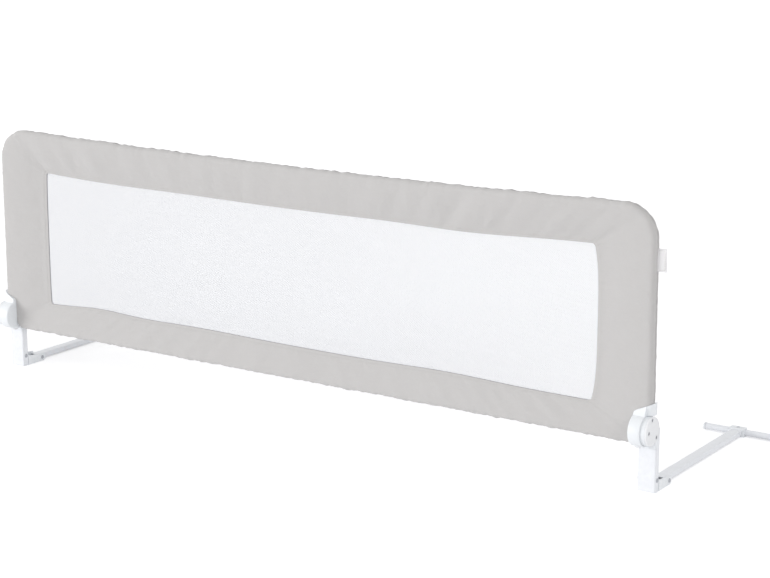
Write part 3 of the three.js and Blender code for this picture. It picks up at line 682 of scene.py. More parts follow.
def connect(tree, shader, colour_socket, roughness, normal):
    tree.links.new(colour_socket, shader.inputs["Base Color"])
    tree.links.new(roughness, shader.inputs["Roughness"])
    tree.links.new(normal, shader.inputs["Normal"])


def bump(tree, height, depth, **below):
    inputs = {"Height": height, "Distance": depth, "Strength": 1.0, **below}
    return add(tree, "ShaderNodeBump", inputs).outputs[0]


@shared
def cloth_material(name, tint, threads, tone, depth, crease):
    """Woven cloth, its weave on the piece's own map in metres, with painted shade in the gaps
    between its threads.
    """
    material, tree, shader = surface(
        name, Sheen_Weight=0.3, Sheen_Roughness=0.5, Specular_IOR_Level=0.25
    )
    place = add(tree, "ShaderNodeUVMap", uv_map=CLOTH_MAP).outputs[0]
    weave = use(tree, plain_weave, Place=place, Threads=threads, Slub=0.35)
    cloud = use(tree, soft_mottle, Place=place, Scale=6.0, Contrast=1.2)["Value"]
    dye = blend_colours(tree, cloud, shaded(tint, 0.975), shaded(tint, 1.02))
    yarn = blend_colours(tree, weave["Tone"], shaded(tint, 1 - tone), shaded(tint, 1 + tone))
    cloth = blend_colours(tree, 0.5, dye, yarn)
    # Painted shade: the gaps between the threads are darkened towards 0.62 of the cloth's tint
    gap_shade = sum_up(tree, "MULTIPLY", weave["Gap"], 0.35)
    weave_and_gap_shade = blend_colours(tree, gap_shade, cloth, shaded(tint, 0.62))
    rough = remap(tree, weave["Tone"], 0.84, 0.96)
    creased = bump(tree, use(tree, crinkle, Place=place)["Height"], crease)
    connect(tree, shader, weave_and_gap_shade, rough, bump(tree, weave["Height"], depth, Normal=creased))
    return material


@shared
def coated_material(name, tint, worn_tint, grain, depth, rough, wear, **plain):
    """Moulded plastic or coated metal with grain, a cloudy tone and rubbed edges."""
    material, tree, shader = surface(name, **plain)
    place = add(tree, "ShaderNodeTexCoord").outputs["Object"]
    pebble = use(tree, fine_grain, Place=place, Scale=grain, Pebble=0.4)["Height"]
    cloud = use(tree, soft_mottle, Place=place, Scale=22.0, Contrast=1.5)["Value"]
    worn = use(tree, edge_wear, Place=place, Amount=wear)["Mask"]
    clean = blend_colours(tree, cloud, shaded(tint, 0.975), shaded(tint, 1.01))
    skin = blend_colours(tree, worn, clean, shaded(worn_tint, 1))
    unworn = remap(tree, cloud, rough - 0.05, rough + 0.06)
    rubbed = mix_values(tree, worn, unworn, max(0.1, rough - 0.15))
    connect(tree, shader, skin, rubbed, bump(tree, pebble, depth))
    return material


def powder_coat():
    return coated_material(
        "powder_coat", bpy.context.scene.guard_legs.paint, linear(222, 224, 228),
        grain=900.0, depth=0.02 * MM, rough=0.36, wear=0.5, Coat_Weight=0.15,
    )


def moulded_plastic():
    return coated_material(
        "moulded_plastic", bpy.context.scene.guard_hinge.plastic, linear(249, 250, 252),
        grain=2200.0, depth=0.015 * MM, rough=0.42, wear=0.6,
    )


def plate_plastic():
    return coated_material(
        "plate_plastic", bpy.context.scene.guard_hinge.plate, linear(228, 230, 234),
        grain=2200.0, depth=0.02 * MM, rough=0.5, wear=0.6,
    )


def zinc_plate():
    return coated_material(
        "zinc_plate", bpy.context.scene.guard_legs.zinc, linear(205, 207, 212),
        grain=700.0, depth=0.01 * MM, rough=0.34, wear=0.8, Metallic=1.0,
    )


def bright_steel():
    return coated_material(
        "bright_steel", linear(212, 214, 218), linear(226, 227, 230),
        grain=1500.0, depth=0.006 * MM, rough=0.28, wear=0.5, Metallic=1.0,
    )


@shared
def net_material(name, tint):
    """Knitted polyester thread with a fine twist, and painted light that drifts slowly across the
    net.
    """
    material, tree, shader = surface(name, Sheen_Weight=0.1, Specular_IOR_Level=0.3)
    place = add(tree, "ShaderNodeTexCoord").outputs["Object"]
    rows = stretched(tree, place, 3, 3, 70)
    streak = use(tree, soft_mottle, Place=rows, Scale=2.0, Contrast=2.4)["Value"]
    # Painted light: a slow cloud lightens and darkens the net between 0.9 and 1.03 of its tint, as
    # uneven light across the window
    slow = use(tree, soft_mottle, Place=place, Scale=1.3, Contrast=3.0)["Value"]
    knit = blend_colours(tree, streak, shaded(tint, 0.88), shaded(tint, 1.05))
    painted_light_cloud = blend_colours(tree, slow, shaded(tint, 0.9), shaded(tint, 1.03))
    thread = blend_colours(tree, 0.5, knit, painted_light_cloud)
    twist = noise(tree, place, 2.0, 2500.0)
    connect(tree, shader, thread, remap(tree, twist, 0.55, 0.75), bump(tree, twist, 0.05 * MM))
    return material


@shared
def thread_material(name, tint):
    """Sewing thread, twisted along its stitches."""
    material, tree, shader = surface(name, Sheen_Weight=0.2, Specular_IOR_Level=0.3)
    place = add(tree, "ShaderNodeTexCoord").outputs["Object"]
    wave = {"Vector": place, "Scale": 900.0, "Distortion": 3.0}
    twist = add(tree, "ShaderNodeTexWave", wave, bands_direction="DIAGONAL").outputs["Fac"]
    thread = blend_colours(tree, twist, shaded(tint, 0.85), shaded(tint, 1.05))
    connect(tree, shader, thread, remap(tree, twist, 0.55, 0.75), bump(tree, twist, 0.08 * MM))
    return material


# Cloth surfaces

# Where the window's edges swell inward: [place along the rail, width, depth] in metres

TOP_SWELLS = [[-0.5, 0.2, 0.0055], [-0.05, 0.25, 0.0028], [0.38, 0.13, 0.0048]]
LOW_SWELLS = [[-0.5, 0.09, 0.0075], [-0.25, 0.17, 0.005], [0.05, 0.2, 0.002], [0.33, 0.13, 0.005]]

# Waves round the panel: their lengths in metres, and their shares of the depth

BROAD_FOLDS = (0.21, 0.118, 0.071, 0.041, 0.026), (0.4, 0.65, 0.5, 0.36, 0.2)
SLOW_CHANGE = (0.9,), (1.0,)
FINE_GATHERS = (0.034, 0.019, 0.012), (0.5, 0.6, 0.4)
HEM_GATHERS = (0.026, 0.015), (0.5, 0.5)
EDGE_DRIFT = (0.16, 0.055, 0.027), (0.5, 0.45, 0.4)
FOLD_SEED, DRIFT_SEED = 7, 3
WAVE_SPREAD = (0.86, 1.0, 1.17)

# The cloth's section: steps over the hem as shares of its width, with the stitches at one of them,
# even steps to the tube's front, and the turn from there to the crest in degrees

HEM_STEPS = np.array([0, 0.15, 0.45, 0.72, 0.95, 1.1])
SEAM_COLUMN = 3
FLAT_STEPS = 10
TURN_STEPS = np.radians([78, 64, 51, 38, 27, 17, 9, 4, 0])
STATION_STEP = 4.4 * MM
CORNER_STEPS = 5
MAP_SHIFT = 2.0

# Stitches: from start to start as a share of their length, and the thread's lift, width and height

STITCH_PITCH = 1.35
THREAD_LIFT, THREAD_WIDTH, THREAD_HEIGHT = 0.1 * MM, 0.34 * MM, 0.3 * MM

# The net's threads: the step in which their ends are found, the turns of their three corners, and
# how far the two sets lie apart as a share of the thread's radius

THREAD_STEP = 2 * MM
THREAD_CORNERS = (0.5, 2.594, 4.689)
SET_APART = 0.8


def swell(x, bumps):
    return sum(depth * np.exp(-(((x - place) / width) ** 2)) for place, width, depth in bumps)


def sag_at(x, reach, depth):
    return depth * np.maximum(0, 1 - (x / reach) ** 2)


def bow_at(up):
    """How far a bowed upright edge stands out, from its share of the way up."""
    return 1 - (2 * np.asarray(up) - 1) ** 4


def ridge(distance, height, width):
    return height * np.exp(-((distance / width) ** 2))


def fade(distance, reach):
    return np.exp(-distance / reach)


def window_edge(size, across, up):
    """Places on the window's edge, from shares across and up."""
    half = HALF_LENGTH - size.side_band
    left = -half - size.left_bow * bow_at(up)
    right = half + size.right_bow * bow_at(up)
    x = left + across * (right - left)
    low = LOWEST.z + size.bottom_band + swell(x, LOW_SWELLS)
    high = HIGHEST.z - size.top_band - sag_at(x, half, size.top_sag) - swell(x, TOP_SWELLS)
    return np.stack([x, low + up * (high - low)], -1)


def edge_stations(size):
    """Round the panel, anticlockwise from below: the tube's middle, way out and window's edge."""
    half_window = HALF_LENGTH - size.side_band
    height = HIGHEST.z - LOWEST.z - size.top_band - size.bottom_band
    shares = np.array([size.window_corner / (2 * half_window), size.window_corner / height])
    # Side, rise, radius and the turn at which each corner starts
    corners = [
        (1, -1, size.low_corner, -math.pi / 2),
        (1, 1, size.top_corner, 0.0),
        (-1, 1, size.top_corner, math.pi / 2),
        (-1, -1, size.low_corner, math.pi),
    ]

    def on_corner(corner, turn):
        side, rise, radius, _ = corner
        hub = np.array(
            [side * (HALF_LENGTH - radius), HIGHEST.z - radius if rise > 0 else LOWEST.z + radius]
        )
        out = np.array([math.cos(turn), math.sin(turn)])
        far = 1 - shares * (1 - np.abs(out))
        window = np.where(np.array([side, rise]) > 0, far, 1 - far)
        return hub, radius, out, window

    rows = []
    for number, corner in enumerate(corners):
        before = corners[number - 1]
        start, end = on_corner(before, before[3] + math.pi / 2), on_corner(corner, corner[3])
        steps = max(2, round(float(np.abs(end[0] - start[0]).max()) / STATION_STEP))
        for along in np.arange(1, steps) / steps:
            hub, radius, window = (
                start[part] + along * (end[part] - start[part]) for part in (0, 1, 3)
            )
            rows.append((hub, radius, end[2], window))
        steps = max(CORNER_STEPS, round(corner[2] * math.pi / 2 / STATION_STEP))
        for turn in np.arange(steps + 1) / steps:
            rows.append(on_corner(corner, corner[3] + turn * math.pi / 2))
    hubs, radii, outs, shares = (np.array([row[part] for row in rows]) for part in range(4))
    tube = hubs + outs * (radii - size.sleeve_radius)[:, None]
    bend = HALF_LENGTH - size.top_corner
    tube[:, 1] -= np.where(outs[:, 1] > 0, sag_at(hubs[:, 0], bend, size.top_sag), 0)
    return tube, outs, window_edge(size, shares[:, 0], shares[:, 1])


def ripples(rng, turns, position, lengths, depths):
    """Irregular waves round the closed loop, each a whole number of times."""
    total = np.zeros_like(position)
    for wave, depth in zip(lengths, depths):
        for spread in WAVE_SPREAD:
            count = max(1, round(turns / (wave * spread)))
            phase = rng.uniform(0, 2 * math.pi)
            total += depth / 2 * np.sin(2 * math.pi * count * position / turns + phase)
    return total[:, None]


def cloth_relief(size, rng, turns, loop, outs, from_window, band):
    """How far one side's folds, gathers, hem and seams stand off its smooth form."""
    broad = ripples(rng, turns, loop, *BROAD_FOLDS)
    slow = 0.65 + 0.35 * ripples(rng, turns, loop, *SLOW_CHANGE)
    fine = ripples(rng, turns, loop, *FINE_GATHERS)
    hem_fine = ripples(rng, turns, loop, *HEM_GATHERS)
    edge_drift = ripples(np.random.default_rng(DRIFT_SEED), turns, loop, *EDGE_DRIFT)
    out_x, out_z = outs[:, :1], outs[:, 1:]
    hem, from_crest, share = size.hem_width, band - from_window, from_window / band

    # Folds across the band, deepest in its middle and along the top
    belly = np.sin(math.pi * np.clip(share, 0, 1) ** 0.8) ** 1.3
    skew = np.roll(broad, 3, axis=0) * (1 - share) + broad * share
    relief = size.pucker * skew * slow * belly * (0.6 + 0.4 * np.clip(out_z, 0, 1))

    # Gathers at the crest, less on the upright sides and more in the corners, and at the hem
    turning = 2 * np.abs(out_x * out_z)
    calm = 0.4 + 0.6 * np.abs(out_z)
    near_edge = fade(from_crest, 16 * MM) * (1 - fade(from_crest, 1.5 * MM))
    relief += size.gather * fine * (calm * (1 + 0.5 * turning)) * near_edge
    past_hem = fade(np.maximum(0, from_window - hem), 13 * MM)
    relief += 0.5 * size.gather * hem_fine * past_hem * np.clip(from_window / hem, 0, 1)

    # The hem's step and its row of stitches, and the seam along the crest between two low ridges
    relief += size.hem_step / (1 + np.exp((from_window - hem) / (0.35 * MM)))
    relief -= ridge(from_window - HEM_STEPS[SEAM_COLUMN] * hem, 0.35 * MM, 0.9 * MM)
    relief -= ridge(from_crest, 0.55 * MM, 0.9 * MM)
    relief += ridge(from_crest - 2.2 * MM, 0.25 * MM, 1.2 * MM)
    relief += size.drift * edge_drift * calm * (1 - 0.75 * turning) * fade(from_crest, 9 * MM)

    # Round the tube the cloth can't sink into it
    tube_reach, deepest = 26 * MM, -1.3 * MM
    return np.where(from_crest < tube_reach, np.maximum(relief, deepest), relief)


def cover_surface(size):
    """The cloth's outer surface: places, map places and normals, each round the panel by across."""
    tube, outs, window = edge_stations(size)
    inward = window - tube
    reach = np.linalg.norm(inward, axis=1)
    inward /= reach[:, None]
    loop = run_along(tube)
    turns = loop[-1] + np.linalg.norm(tube[0] - tube[-1])

    # The smooth form: flat from the window to the tube's front, then round the tube to the crest
    radius, gap, full = size.sleeve_radius, size.hem_gap, size.fullness
    level = np.ones((len(loop), 1))
    straight = np.hypot(reach, radius - gap)[:, None]
    hem_run = HEM_STEPS * size.hem_width
    flat_run = hem_run[-1] + (straight - hem_run[-1]) * np.linspace(0, 1, FLAT_STEPS + 1)[1:]
    flat_run = np.concatenate([hem_run[None].repeat(len(loop), 0), flat_run], axis=1)
    share = flat_run / straight
    swollen = radius * (np.cos(TURN_STEPS) ** full + np.sin(TURN_STEPS) ** full) ** (-1 / full)
    flat = window[:, None] + (tube - window)[:, None] * share[..., None]
    bent = tube[:, None] + outs[:, None] * (swollen * np.cos(TURN_STEPS))[:, None]
    plane = np.concatenate([flat, bent], axis=1)
    flat_rise = gap + (radius - gap) * np.sin(math.pi / 2 * share)
    rise = np.concatenate([flat_rise, level * swollen * np.sin(TURN_STEPS)], axis=1)
    lean = np.concatenate([np.zeros_like(share), level * np.cos(TURN_STEPS)], axis=1)
    across, up = outs[:, None] * lean[..., None], np.sqrt(1 - lean**2)
    bent_run = straight + level * radius * (math.pi / 2 - TURN_STEPS)
    from_window = np.concatenate([flat_run, bent_run], axis=1)
    band = straight + radius * math.pi / 2
    foot = np.clip((HIGHEST.z - size.top_corner - plane[..., 1]) / (HIGHEST.z - LOWEST.z), 0, 1)
    flare = size.foot_flare * foot * (plane[..., 0] > 0) * fade(band - from_window, 30 * MM)
    flat_map = window[:, None] - inward[:, None] * from_window[..., None]

    rng = np.random.default_rng(FOLD_SEED)
    layers = []
    for side in (-1, 1):
        relief = cloth_relief(size, rng, turns, loop, outs, from_window, band)
        x = plane[..., 0] + across[..., 0] * relief + flare
        y = PLANE_Y + side * (rise + up * relief)
        z = plane[..., 1] + across[..., 1] * relief
        normal = np.stack([across[..., 0], side * up, across[..., 1]], -1)
        layers.append((np.stack([x, y, z], -1), flat_map + np.array([side * MAP_SHIFT, 0]), normal))
    return [np.concatenate([front, back[:, -2::-1]], axis=1) for front, back in zip(*layers)]


def neck_bend(size):
    """Slope of the neck's top, and the middle of the bend between it and the drum's inner face."""
    slope = size.cut_rise / (HALF_LENGTH - POST_BOX[0].x)
    drop = size.cut_bend * (math.hypot(1, slope) - slope)
    return slope, POST_BOX[0].x + size.cut_bend, LOWEST.z + size.cut_height - drop


def opening_depth(size, x, z):
    """How far a place lies inside the opening for the hinge, in metres; negative on the cloth."""
    inner = POST_BOX[0].x - FIT
    x = abs(x)
    slope, bend_x, bend_z = neck_bend(size)
    past_x, past_z = x - bend_x, z - bend_z
    if past_z > 0 and past_x + slope * past_z < 0:
        return size.cut_bend + FIT - math.hypot(past_x, past_z)
    upper = LOWEST.z + size.cut_height + FIT + slope * (x - POST_BOX[0].x) - z
    hub_x, hub_z = inner - size.cut_corner, LOWEST.z + size.cut_corner
    side = x - inner
    if x > hub_x and z < hub_z:
        side = math.hypot(x - hub_x, z - hub_z) - size.cut_corner
    return min(side, upper)


def trim(obj, depth):
    """Cuts an open sheet along the line where depth is 0 and removes what lies beyond it."""
    snap = 0.05 * MM
    mesh = bmesh.new()
    mesh.from_mesh(obj.data)
    value = {vertex: depth(vertex.co) for vertex in mesh.verts}
    value = {vertex: 0.0 if abs(inside) < snap else inside for vertex, inside in value.items()}
    crossing = [edge for edge in mesh.edges if value[edge.verts[0]] * value[edge.verts[1]] < 0]
    for edge in crossing:
        first, second = edge.verts
        share = value[first] / (value[first] - value[second])
        _, made = bmesh.utils.edge_split(edge, first, share)
        value[made] = 0.0
    for face in list(mesh.faces):
        on_line = [vertex for vertex in face.verts if value[vertex] == 0]
        signs = {math.copysign(1, value[vertex]) for vertex in face.verts if value[vertex]}
        if len(on_line) == 2 and len(signs) == 2:
            bmesh.utils.face_split(face, on_line[0], on_line[1])
    beyond = [face for face in mesh.faces if sum(value[vertex] for vertex in face.verts) > 0]
    bmesh.ops.delete(mesh, geom=beyond, context="FACES")
    mesh.to_mesh(obj.data)
    mesh.free()


def strip_faces(rows, columns, closed):
    """Faces of a grid of rows, the last joined to the first if closed."""
    rounds = rows if closed else rows - 1
    row, column = np.meshgrid(np.arange(rounds), np.arange(columns - 1), indexing="ij")
    here, after = row * columns + column, (row + 1) % rows * columns + column
    return np.stack([here, after, after + 1, here + 1], -1).reshape(-1, 4)


def turn_outward(obj):
    """Turns an open sheet's faces to its outer side, judged at its highest face."""
    face_outward(obj)
    top = max(obj.data.polygons, key=lambda face: face.center.z)
    if top.normal.z < 0:
        choose(obj, "FACE")
        bpy.ops.mesh.flip_normals()
        leave()


def run_along(places):
    """How far along a line each of its places lies."""
    return np.concatenate([[0], np.cumsum(np.linalg.norm(np.diff(places, axis=0), axis=1))])


def stitches(name, rows, size):
    """Rows of small stitches, each row a list of places and of the cloth's normals there."""
    model = begin("uv_sphere", name, segments=6, ring_count=4, radius=1)
    shape = np.array([vertex.co for vertex in model.data.vertices])
    faces = [tuple(face.vertices) for face in model.data.polygons]
    bpy.data.objects.remove(model)
    points, joined = [], []
    for places, normals in rows:
        lengths = run_along(places)

        def at(values, along):
            return np.array([np.interp(along, lengths, values[:, axis]) for axis in range(3)])

        last_start = lengths[-1] - size.stitch
        for start in np.arange(size.stitch / 2, last_start, size.stitch * STITCH_PITCH):
            first, last = at(places, start), at(places, start + size.stitch)
            out = at(normals, start)
            out /= np.linalg.norm(out)
            along = (last - first) / 2
            side = np.cross(out, along / np.linalg.norm(along))
            stitch = (first + last) / 2 + out * THREAD_LIFT + shape[:, 2:] * along
            stitch = stitch + shape[:, 1:2] * side * THREAD_WIDTH
            stitch = stitch + shape[:, :1] * out * THREAD_HEIGHT
            base = len(points) * len(shape)
            joined.extend(tuple(base + index for index in face) for face in faces)
            points.append(stitch)
    obj = mesh_object(name, np.concatenate(points), joined)
    tidy(obj)
    shade_smooth(obj)
    return obj


def opening_edges(size, obj):
    """The open sheet's edges along both hinge openings, as chains of places."""
    near, least = 0.1 * MM, 10
    mesh = bmesh.new()
    mesh.from_mesh(obj.data)
    follows = {}
    for edge in mesh.edges:
        if not edge.is_boundary:
            continue
        if max(abs(opening_depth(size, v.co.x, v.co.z)) for v in edge.verts) < near:
            for vertex in edge.verts:
                follows.setdefault(vertex, []).append(edge.other_vert(vertex))
    chains, done = [], set()
    starts = [vertex for vertex, others in follows.items() if len(others) == 1]
    for vertex in starts + list(follows):
        chain = []
        while vertex and vertex not in done:
            done.add(vertex)
            chain.append(np.array(vertex.co))
            vertex = next((other for other in follows[vertex] if other not in done), None)
        if len(chain) >= least:
            chains.append(np.array(chain))
    mesh.free()
    return chains


def opening_seams(size, obj, chains):
    """Rows of places for stitches, a little inside the cloth's cut edges."""
    skin = BVHTree.FromObject(obj, bpy.context.evaluated_depsgraph_get())
    seams = []
    for chain in chains:
        row = []
        for place, ahead in zip(chain[:-1], chain[1:]):
            _, normal, _, _ = skin.find_nearest(Vector(place))
            inward = normal.cross(Vector(ahead - place).normalized()) * size.seam_inset
            moved = min(
                (Vector(place) + inward, Vector(place) - inward),
                key=lambda spot: opening_depth(size, spot.x, spot.z),
            )
            spot, normal, _, _ = skin.find_nearest(moved)
            row.append((spot, normal))
        seams.append(tuple(np.array([item[part] for item in row]) for part in (0, 1)))
    return seams


class BEDGUARD_OT_cover(bpy.types.Operator):
    """Sews the woven cover round the frame and stitches its hems"""

    bl_idname = "bed_guard.cover"
    bl_label = "Woven Cover"

    def execute(self, context):
        size = context.scene.guard_cover
        places, maps, normals = cover_surface(size)
        rows, columns = places.shape[:2]
        faces = strip_faces(rows, columns, True)
        cover = mesh_object("woven_cover", places.reshape(-1, 3), faces, maps.reshape(-1, 2))
        trim(cover, lambda place: opening_depth(size, place.x, place.z))
        turn_outward(cover)
        edges = opening_edges(size, cover)
        finish_with(cover, "SOLIDIFY", thickness=size.cloth, offset=-1.0, use_even_offset=True)
        smooth(cover, 60)
        cloth = cloth_material(
            "woven_cloth", size.tint, size.threads, tone=0.08, depth=0.07 * MM, crease=2.5 * MM
        )
        put(cover, "guard", "cover_fabric", cloth, "fabric_cover")
        seams = []
        for column in (SEAM_COLUMN, columns - 1 - SEAM_COLUMN):
            closed = [*range(rows), 0]
            seams.append((places[closed, column], normals[closed, column]))
        sewing = stitches("cover_stitches", seams + opening_seams(size, cover, edges), size)
        put(sewing, "guard", "cover_fabric", thread_material("sewing_thread", size.thread_tint))
        return {"FINISHED"}


class BEDGUARD_OT_net(bpy.types.Operator):
    """Knits the net window from two sets of crossing threads"""

    bl_idname = "bed_guard.net"
    bl_label = "Net Window"

    def execute(self, context):
        net, cover = context.scene.guard_net, context.scene.guard_cover
        half = HALF_LENGTH - cover.side_band
        low = LOWEST.z + cover.bottom_band - net.margin
        high = HIGHEST.z - cover.top_band + net.margin
        middle_z, height = (low + high) / 2, high - low
        reach = half + cover.right_bow + net.margin + height
        points, faces = [], []
        for number, sign in enumerate((-1, 1)):
            way_x, way_z = math.cos(net.slope) * sign, math.sin(net.slope)
            run = np.arange(-0.5 * height / way_z, 0.5 * height / way_z, THREAD_STEP)
            for start in np.arange(-reach, reach, net.pitch / way_z):
                line_x, line_z = start + run * way_x, middle_z + run * way_z
                bow = bow_at(np.clip((line_z - low) / height, 0, 1))
                inside = line_x > -half - cover.left_bow * bow - net.margin
                inside &= line_x < half + cover.right_bow * bow + net.margin
                inside &= line_z < high - sag_at(line_x, half, cover.top_sag)
                kept = np.flatnonzero(inside)
                if len(kept) < 3:
                    continue
                count = max(2, round(len(kept) * THREAD_STEP / net.segment) + 1)
                ends = np.linspace(kept[0], kept[-1], count)
                x, z = (np.interp(ends, np.arange(len(run)), line) for line in (line_x, line_z))
                # Two slow waves in depth, and the two sets of threads side by side
                slack = np.sin(math.pi * np.clip((z - low) / height, 0, 1))
                lie = 0.6 * np.sin(x * 7.3 + 0.8) + 0.4 * np.sin(x * 17.1 - z * 9)
                y = PLANE_Y + net.wave * slack * lie + (number - 0.5) * net.thread * SET_APART
                base = len(points)
                for px, py, pz in zip(x, y, z):
                    for turn in THREAD_CORNERS:
                        out, lift = net.thread * math.cos(turn), net.thread * math.sin(turn)
                        points.append((px - out * way_z, py + lift, pz + out * way_x))
                for ring in range(base, base + (count - 1) * 3, 3):
                    for corner in range(3):
                        a, b = ring + corner, ring + (corner + 1) % 3
                        faces.append((a, b, b + 3, a + 3))
                last = base + (count - 1) * 3
                faces += [(base + 2, base + 1, base), (last, last + 1, last + 2)]
        threads = mesh_object("net_threads", points, faces)
        face_outward(threads)
        for polygon in threads.data.polygons:
            polygon.use_smooth = len(polygon.vertices) == 4
        put(threads, "guard", "net_fabric", net_material("net_thread", net.tint), "net_window")
        return {"FINISHED"}


class BEDGUARD_OT_label(bpy.types.Operator):
    """Folds the bare label tape in the seam of the right edge"""

    bl_idname = "bed_guard.label"
    bl_label = "Bare Label"

    def execute(self, context):
        size, cover = context.scene.guard_label, context.scene.guard_cover
        low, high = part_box("label_tab")
        half, tucked, curled = (high.y - low.y) / 2, 3 * MM, 0.5 * MM
        flat_points, fold_points, rows_up = 12, 9, 24
        inner, outer = HALF_LENGTH - tucked, high.x - half
        front = [(x, -half) for x in np.linspace(inner, outer, flat_points)]
        turns = np.linspace(0, math.pi, fold_points)[1:-1]
        fold = [(outer + half * math.sin(turn), -half * math.cos(turn)) for turn in turns]
        back = [(x, half) for x in np.linspace(outer, inner, flat_points)]
        path = np.array(front + fold + back)
        pressed = [0.4, 0.7, 1]
        path[:, 1] *= np.interp(path[:, 0], [inner, HALF_LENGTH, outer], pressed)
        heights = np.linspace(low.z, high.z, rows_up)
        points, maps = [], []
        for z in heights:
            up = (z - low.z) / (high.z - low.z)
            for (x, y), along in zip(path, run_along(path)):
                lift = np.clip((x - HALF_LENGTH) / (outer - HALF_LENGTH), 0, 1)
                curl = curled * lift**2 * math.sin(math.pi * (up * 1.3 + 0.2))
                points.append((x, PLANE_Y + y + curl, z))
                maps.append((along, z))
        tape = mesh_object("bare_label", points, strip_faces(len(heights), len(path), False), maps)
        turn_outward(tape)
        finish_with(tape, "SOLIDIFY", thickness=size.cloth, offset=0.0, use_even_offset=True)
        smooth(tape, 50)
        cloth = cloth_material(
            "label_tape_cloth", size.tint, 2600, tone=0.05, depth=0.05 * MM, crease=0.5 * MM
        )
        put(tape, "guard", "label_tape", cloth, "label_tab")
        rows = []
        left, right = HALF_LENGTH + 1.5 * MM, outer - size.border / 2
        bottom, top = low.z + size.border, high.z - size.border
        corners = [(left, top), (right, top), (right, bottom), (left, bottom)]
        for side in (-1, 1):
            y = PLANE_Y + side * (half + size.cloth / 2)
            line = [(x, y, z) for x, z in corners]
            parts = [np.linspace(*line[part:part + 2], flat_points)[:-1] for part in range(3)]
            dense = np.concatenate(parts)
            rows.append((dense, np.repeat([[0, side, 0]], len(dense), 0)))
        sewing = stitches("label_stitches", rows, cover)
        put(sewing, "guard", "label_tape", thread_material("sewing_thread", cover.thread_tint))
        return {"FINISHED"}


# Hinges

# Width of the release key's block, without its tooth
KEY_STEM = 10 * MM


def drum_neck(size, cover):
    """The neck that rises from the drum into the collar round the upper frame tube."""
    inner = POST_BOX[0].x
    outer = inner + size.drum_width
    seat = size.drum_radius - FIT
    shoulder, half = seat / 2, seat * math.cos(math.pi / 6)
    cut_foot = LOWEST.z + cover.cut_height
    top = cut_foot + cover.cut_rise + OVERRUN
    neck = block(
        "neck",
        (inner + FIT / 3, PIVOT.y - half, PIVOT.z + shoulder),
        (outer - FIT / 3, PIVOT.y + half, top),
    )
    front_y = half - seat * math.cos(size.neck_turn)
    front_z = seat * math.sin(size.neck_turn) - shoulder
    move(neck, "VERT", lambda v: v.co.z < top - MM and v.co.y < PIVOT.y, 0, front_y, front_z)
    top_front = PLANE_Y - size.collar_radius - (PIVOT.y - half)
    move(neck, "VERT", lambda v: v.co.z > top - MM and v.co.y < PIVOT.y, 0, top_front, 0)
    top_back = PLANE_Y + size.collar_radius - (PIVOT.y + half)
    move(neck, "VERT", lambda v: v.co.z > top - MM and v.co.y > PIVOT.y, 0, top_back, 0)
    round_edges(neck, lambda edge: upright(edge) and middle(edge).x < inner + MM, size.rim, 5)

    foot = PIVOT.z + size.ear_radius + 2 * FIT
    oval = size.collar_radius + MM
    collar = block(
        "collar",
        (inner + MM, PLANE_Y - oval, foot),
        (POST_BOX[1].x - FIT, PLANE_Y + oval, top + MM),
    )
    round_edges(collar, upright, size.collar_radius, 12)
    round_edges(collar, lambda edge: middle(edge).z < foot + MM / 10, 0.6 * MM)
    combine(neck, collar)

    slope, bend_x, bend_z = neck_bend(cover)
    slice_off(neck, (inner, PLANE_Y, cut_foot), Vector((-slope, 0, 1)).normalized())
    reach = 2 * size.collar_radius
    spare = block(
        "spare",
        (inner - MM, PLANE_Y - reach, bend_z),
        (bend_x - slope * cover.cut_bend / math.hypot(1, slope), PLANE_Y + reach, top + MM),
    )
    ends = PLANE_Y - reach - MM, PLANE_Y + reach + MM
    carve(spare, rod("bend", "Y", *ends, cover.cut_bend, (bend_x, bend_z)))
    return carve(neck, spare)


class BEDGUARD_OT_drums(bpy.types.Operator):
    """Moulds the drum, neck and collar on the guard's side of both hinges"""

    bl_idname = "bed_guard.drums"
    bl_label = "Hinge Drums"

    def execute(self, context):
        size, cover = context.scene.guard_hinge, context.scene.guard_cover
        inner = POST_BOX[0].x
        outer, floor = inner + size.drum_width, inner + size.drum_wall
        half_wall = inner + size.drum_wall / 2
        axis = (PIVOT.y, PIVOT.z)
        drum = rod("right_hinge_drum", "X", inner, outer, size.drum_radius, axis, DISC_SIDES)
        round_edges(drum, lambda edge: around_x(edge) and middle(edge).x < inner + MM, size.rim, 5)
        round_edges(drum, lambda edge: around_x(edge) and middle(edge).x > outer - MM, size.edge)
        combine(drum, drum_neck(size, cover))
        hollow = rod("hollow", "X", floor, outer + OVERRUN, size.drum_radius - size.drum_wall, axis)
        carve(drum, hollow)
        boss_radius, boss_edge = 8 * MM, 0.5 * MM
        boss = rod("boss", "X", half_wall, outer, boss_radius, axis, ROD_SIDES)
        round_edges(boss, lambda edge: around_x(edge) and middle(edge).x > outer - MM, boss_edge, 2)
        low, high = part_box("right_hinge_housing")
        upper_place = (HALF_LENGTH - cover.sleeve_radius, PLANE_Y)
        upper_foot = LOWEST.z + cover.cut_height - size.drum_wall
        upper = rod("upper_spigot", "Z", upper_foot, high.z, SPIGOT_RADIUS, upper_place, ROD_SIDES)
        lower_place = (PLANE_Y, TUBE_Z)
        lower = rod("lower_spigot", "X", low.x, half_wall, SPIGOT_RADIUS, lower_place, ROD_SIDES)
        combine(drum, boss, upper, lower)
        bore = rod("bore", "X", floor, outer + OVERRUN, BOLT_RADIUS + FIT, axis, HOLE_SIDES)
        key_low, key_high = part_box("right_release_button")
        slot_height = 6 * MM
        slot_top = PIVOT.z - size.drum_radius + slot_height
        slot = block(
            "slot",
            (floor, key_low.y - FIT, LOWEST.z - OVERRUN),
            (floor + KEY_STEM + 2 * FIT, key_high.y + FIT, slot_top),
        )
        carve(drum, bore, slot)
        tidy(drum)
        put_pair(drum, "guard", "white_plastic", moulded_plastic(), "hinge_housing")
        return {"FINISHED"}


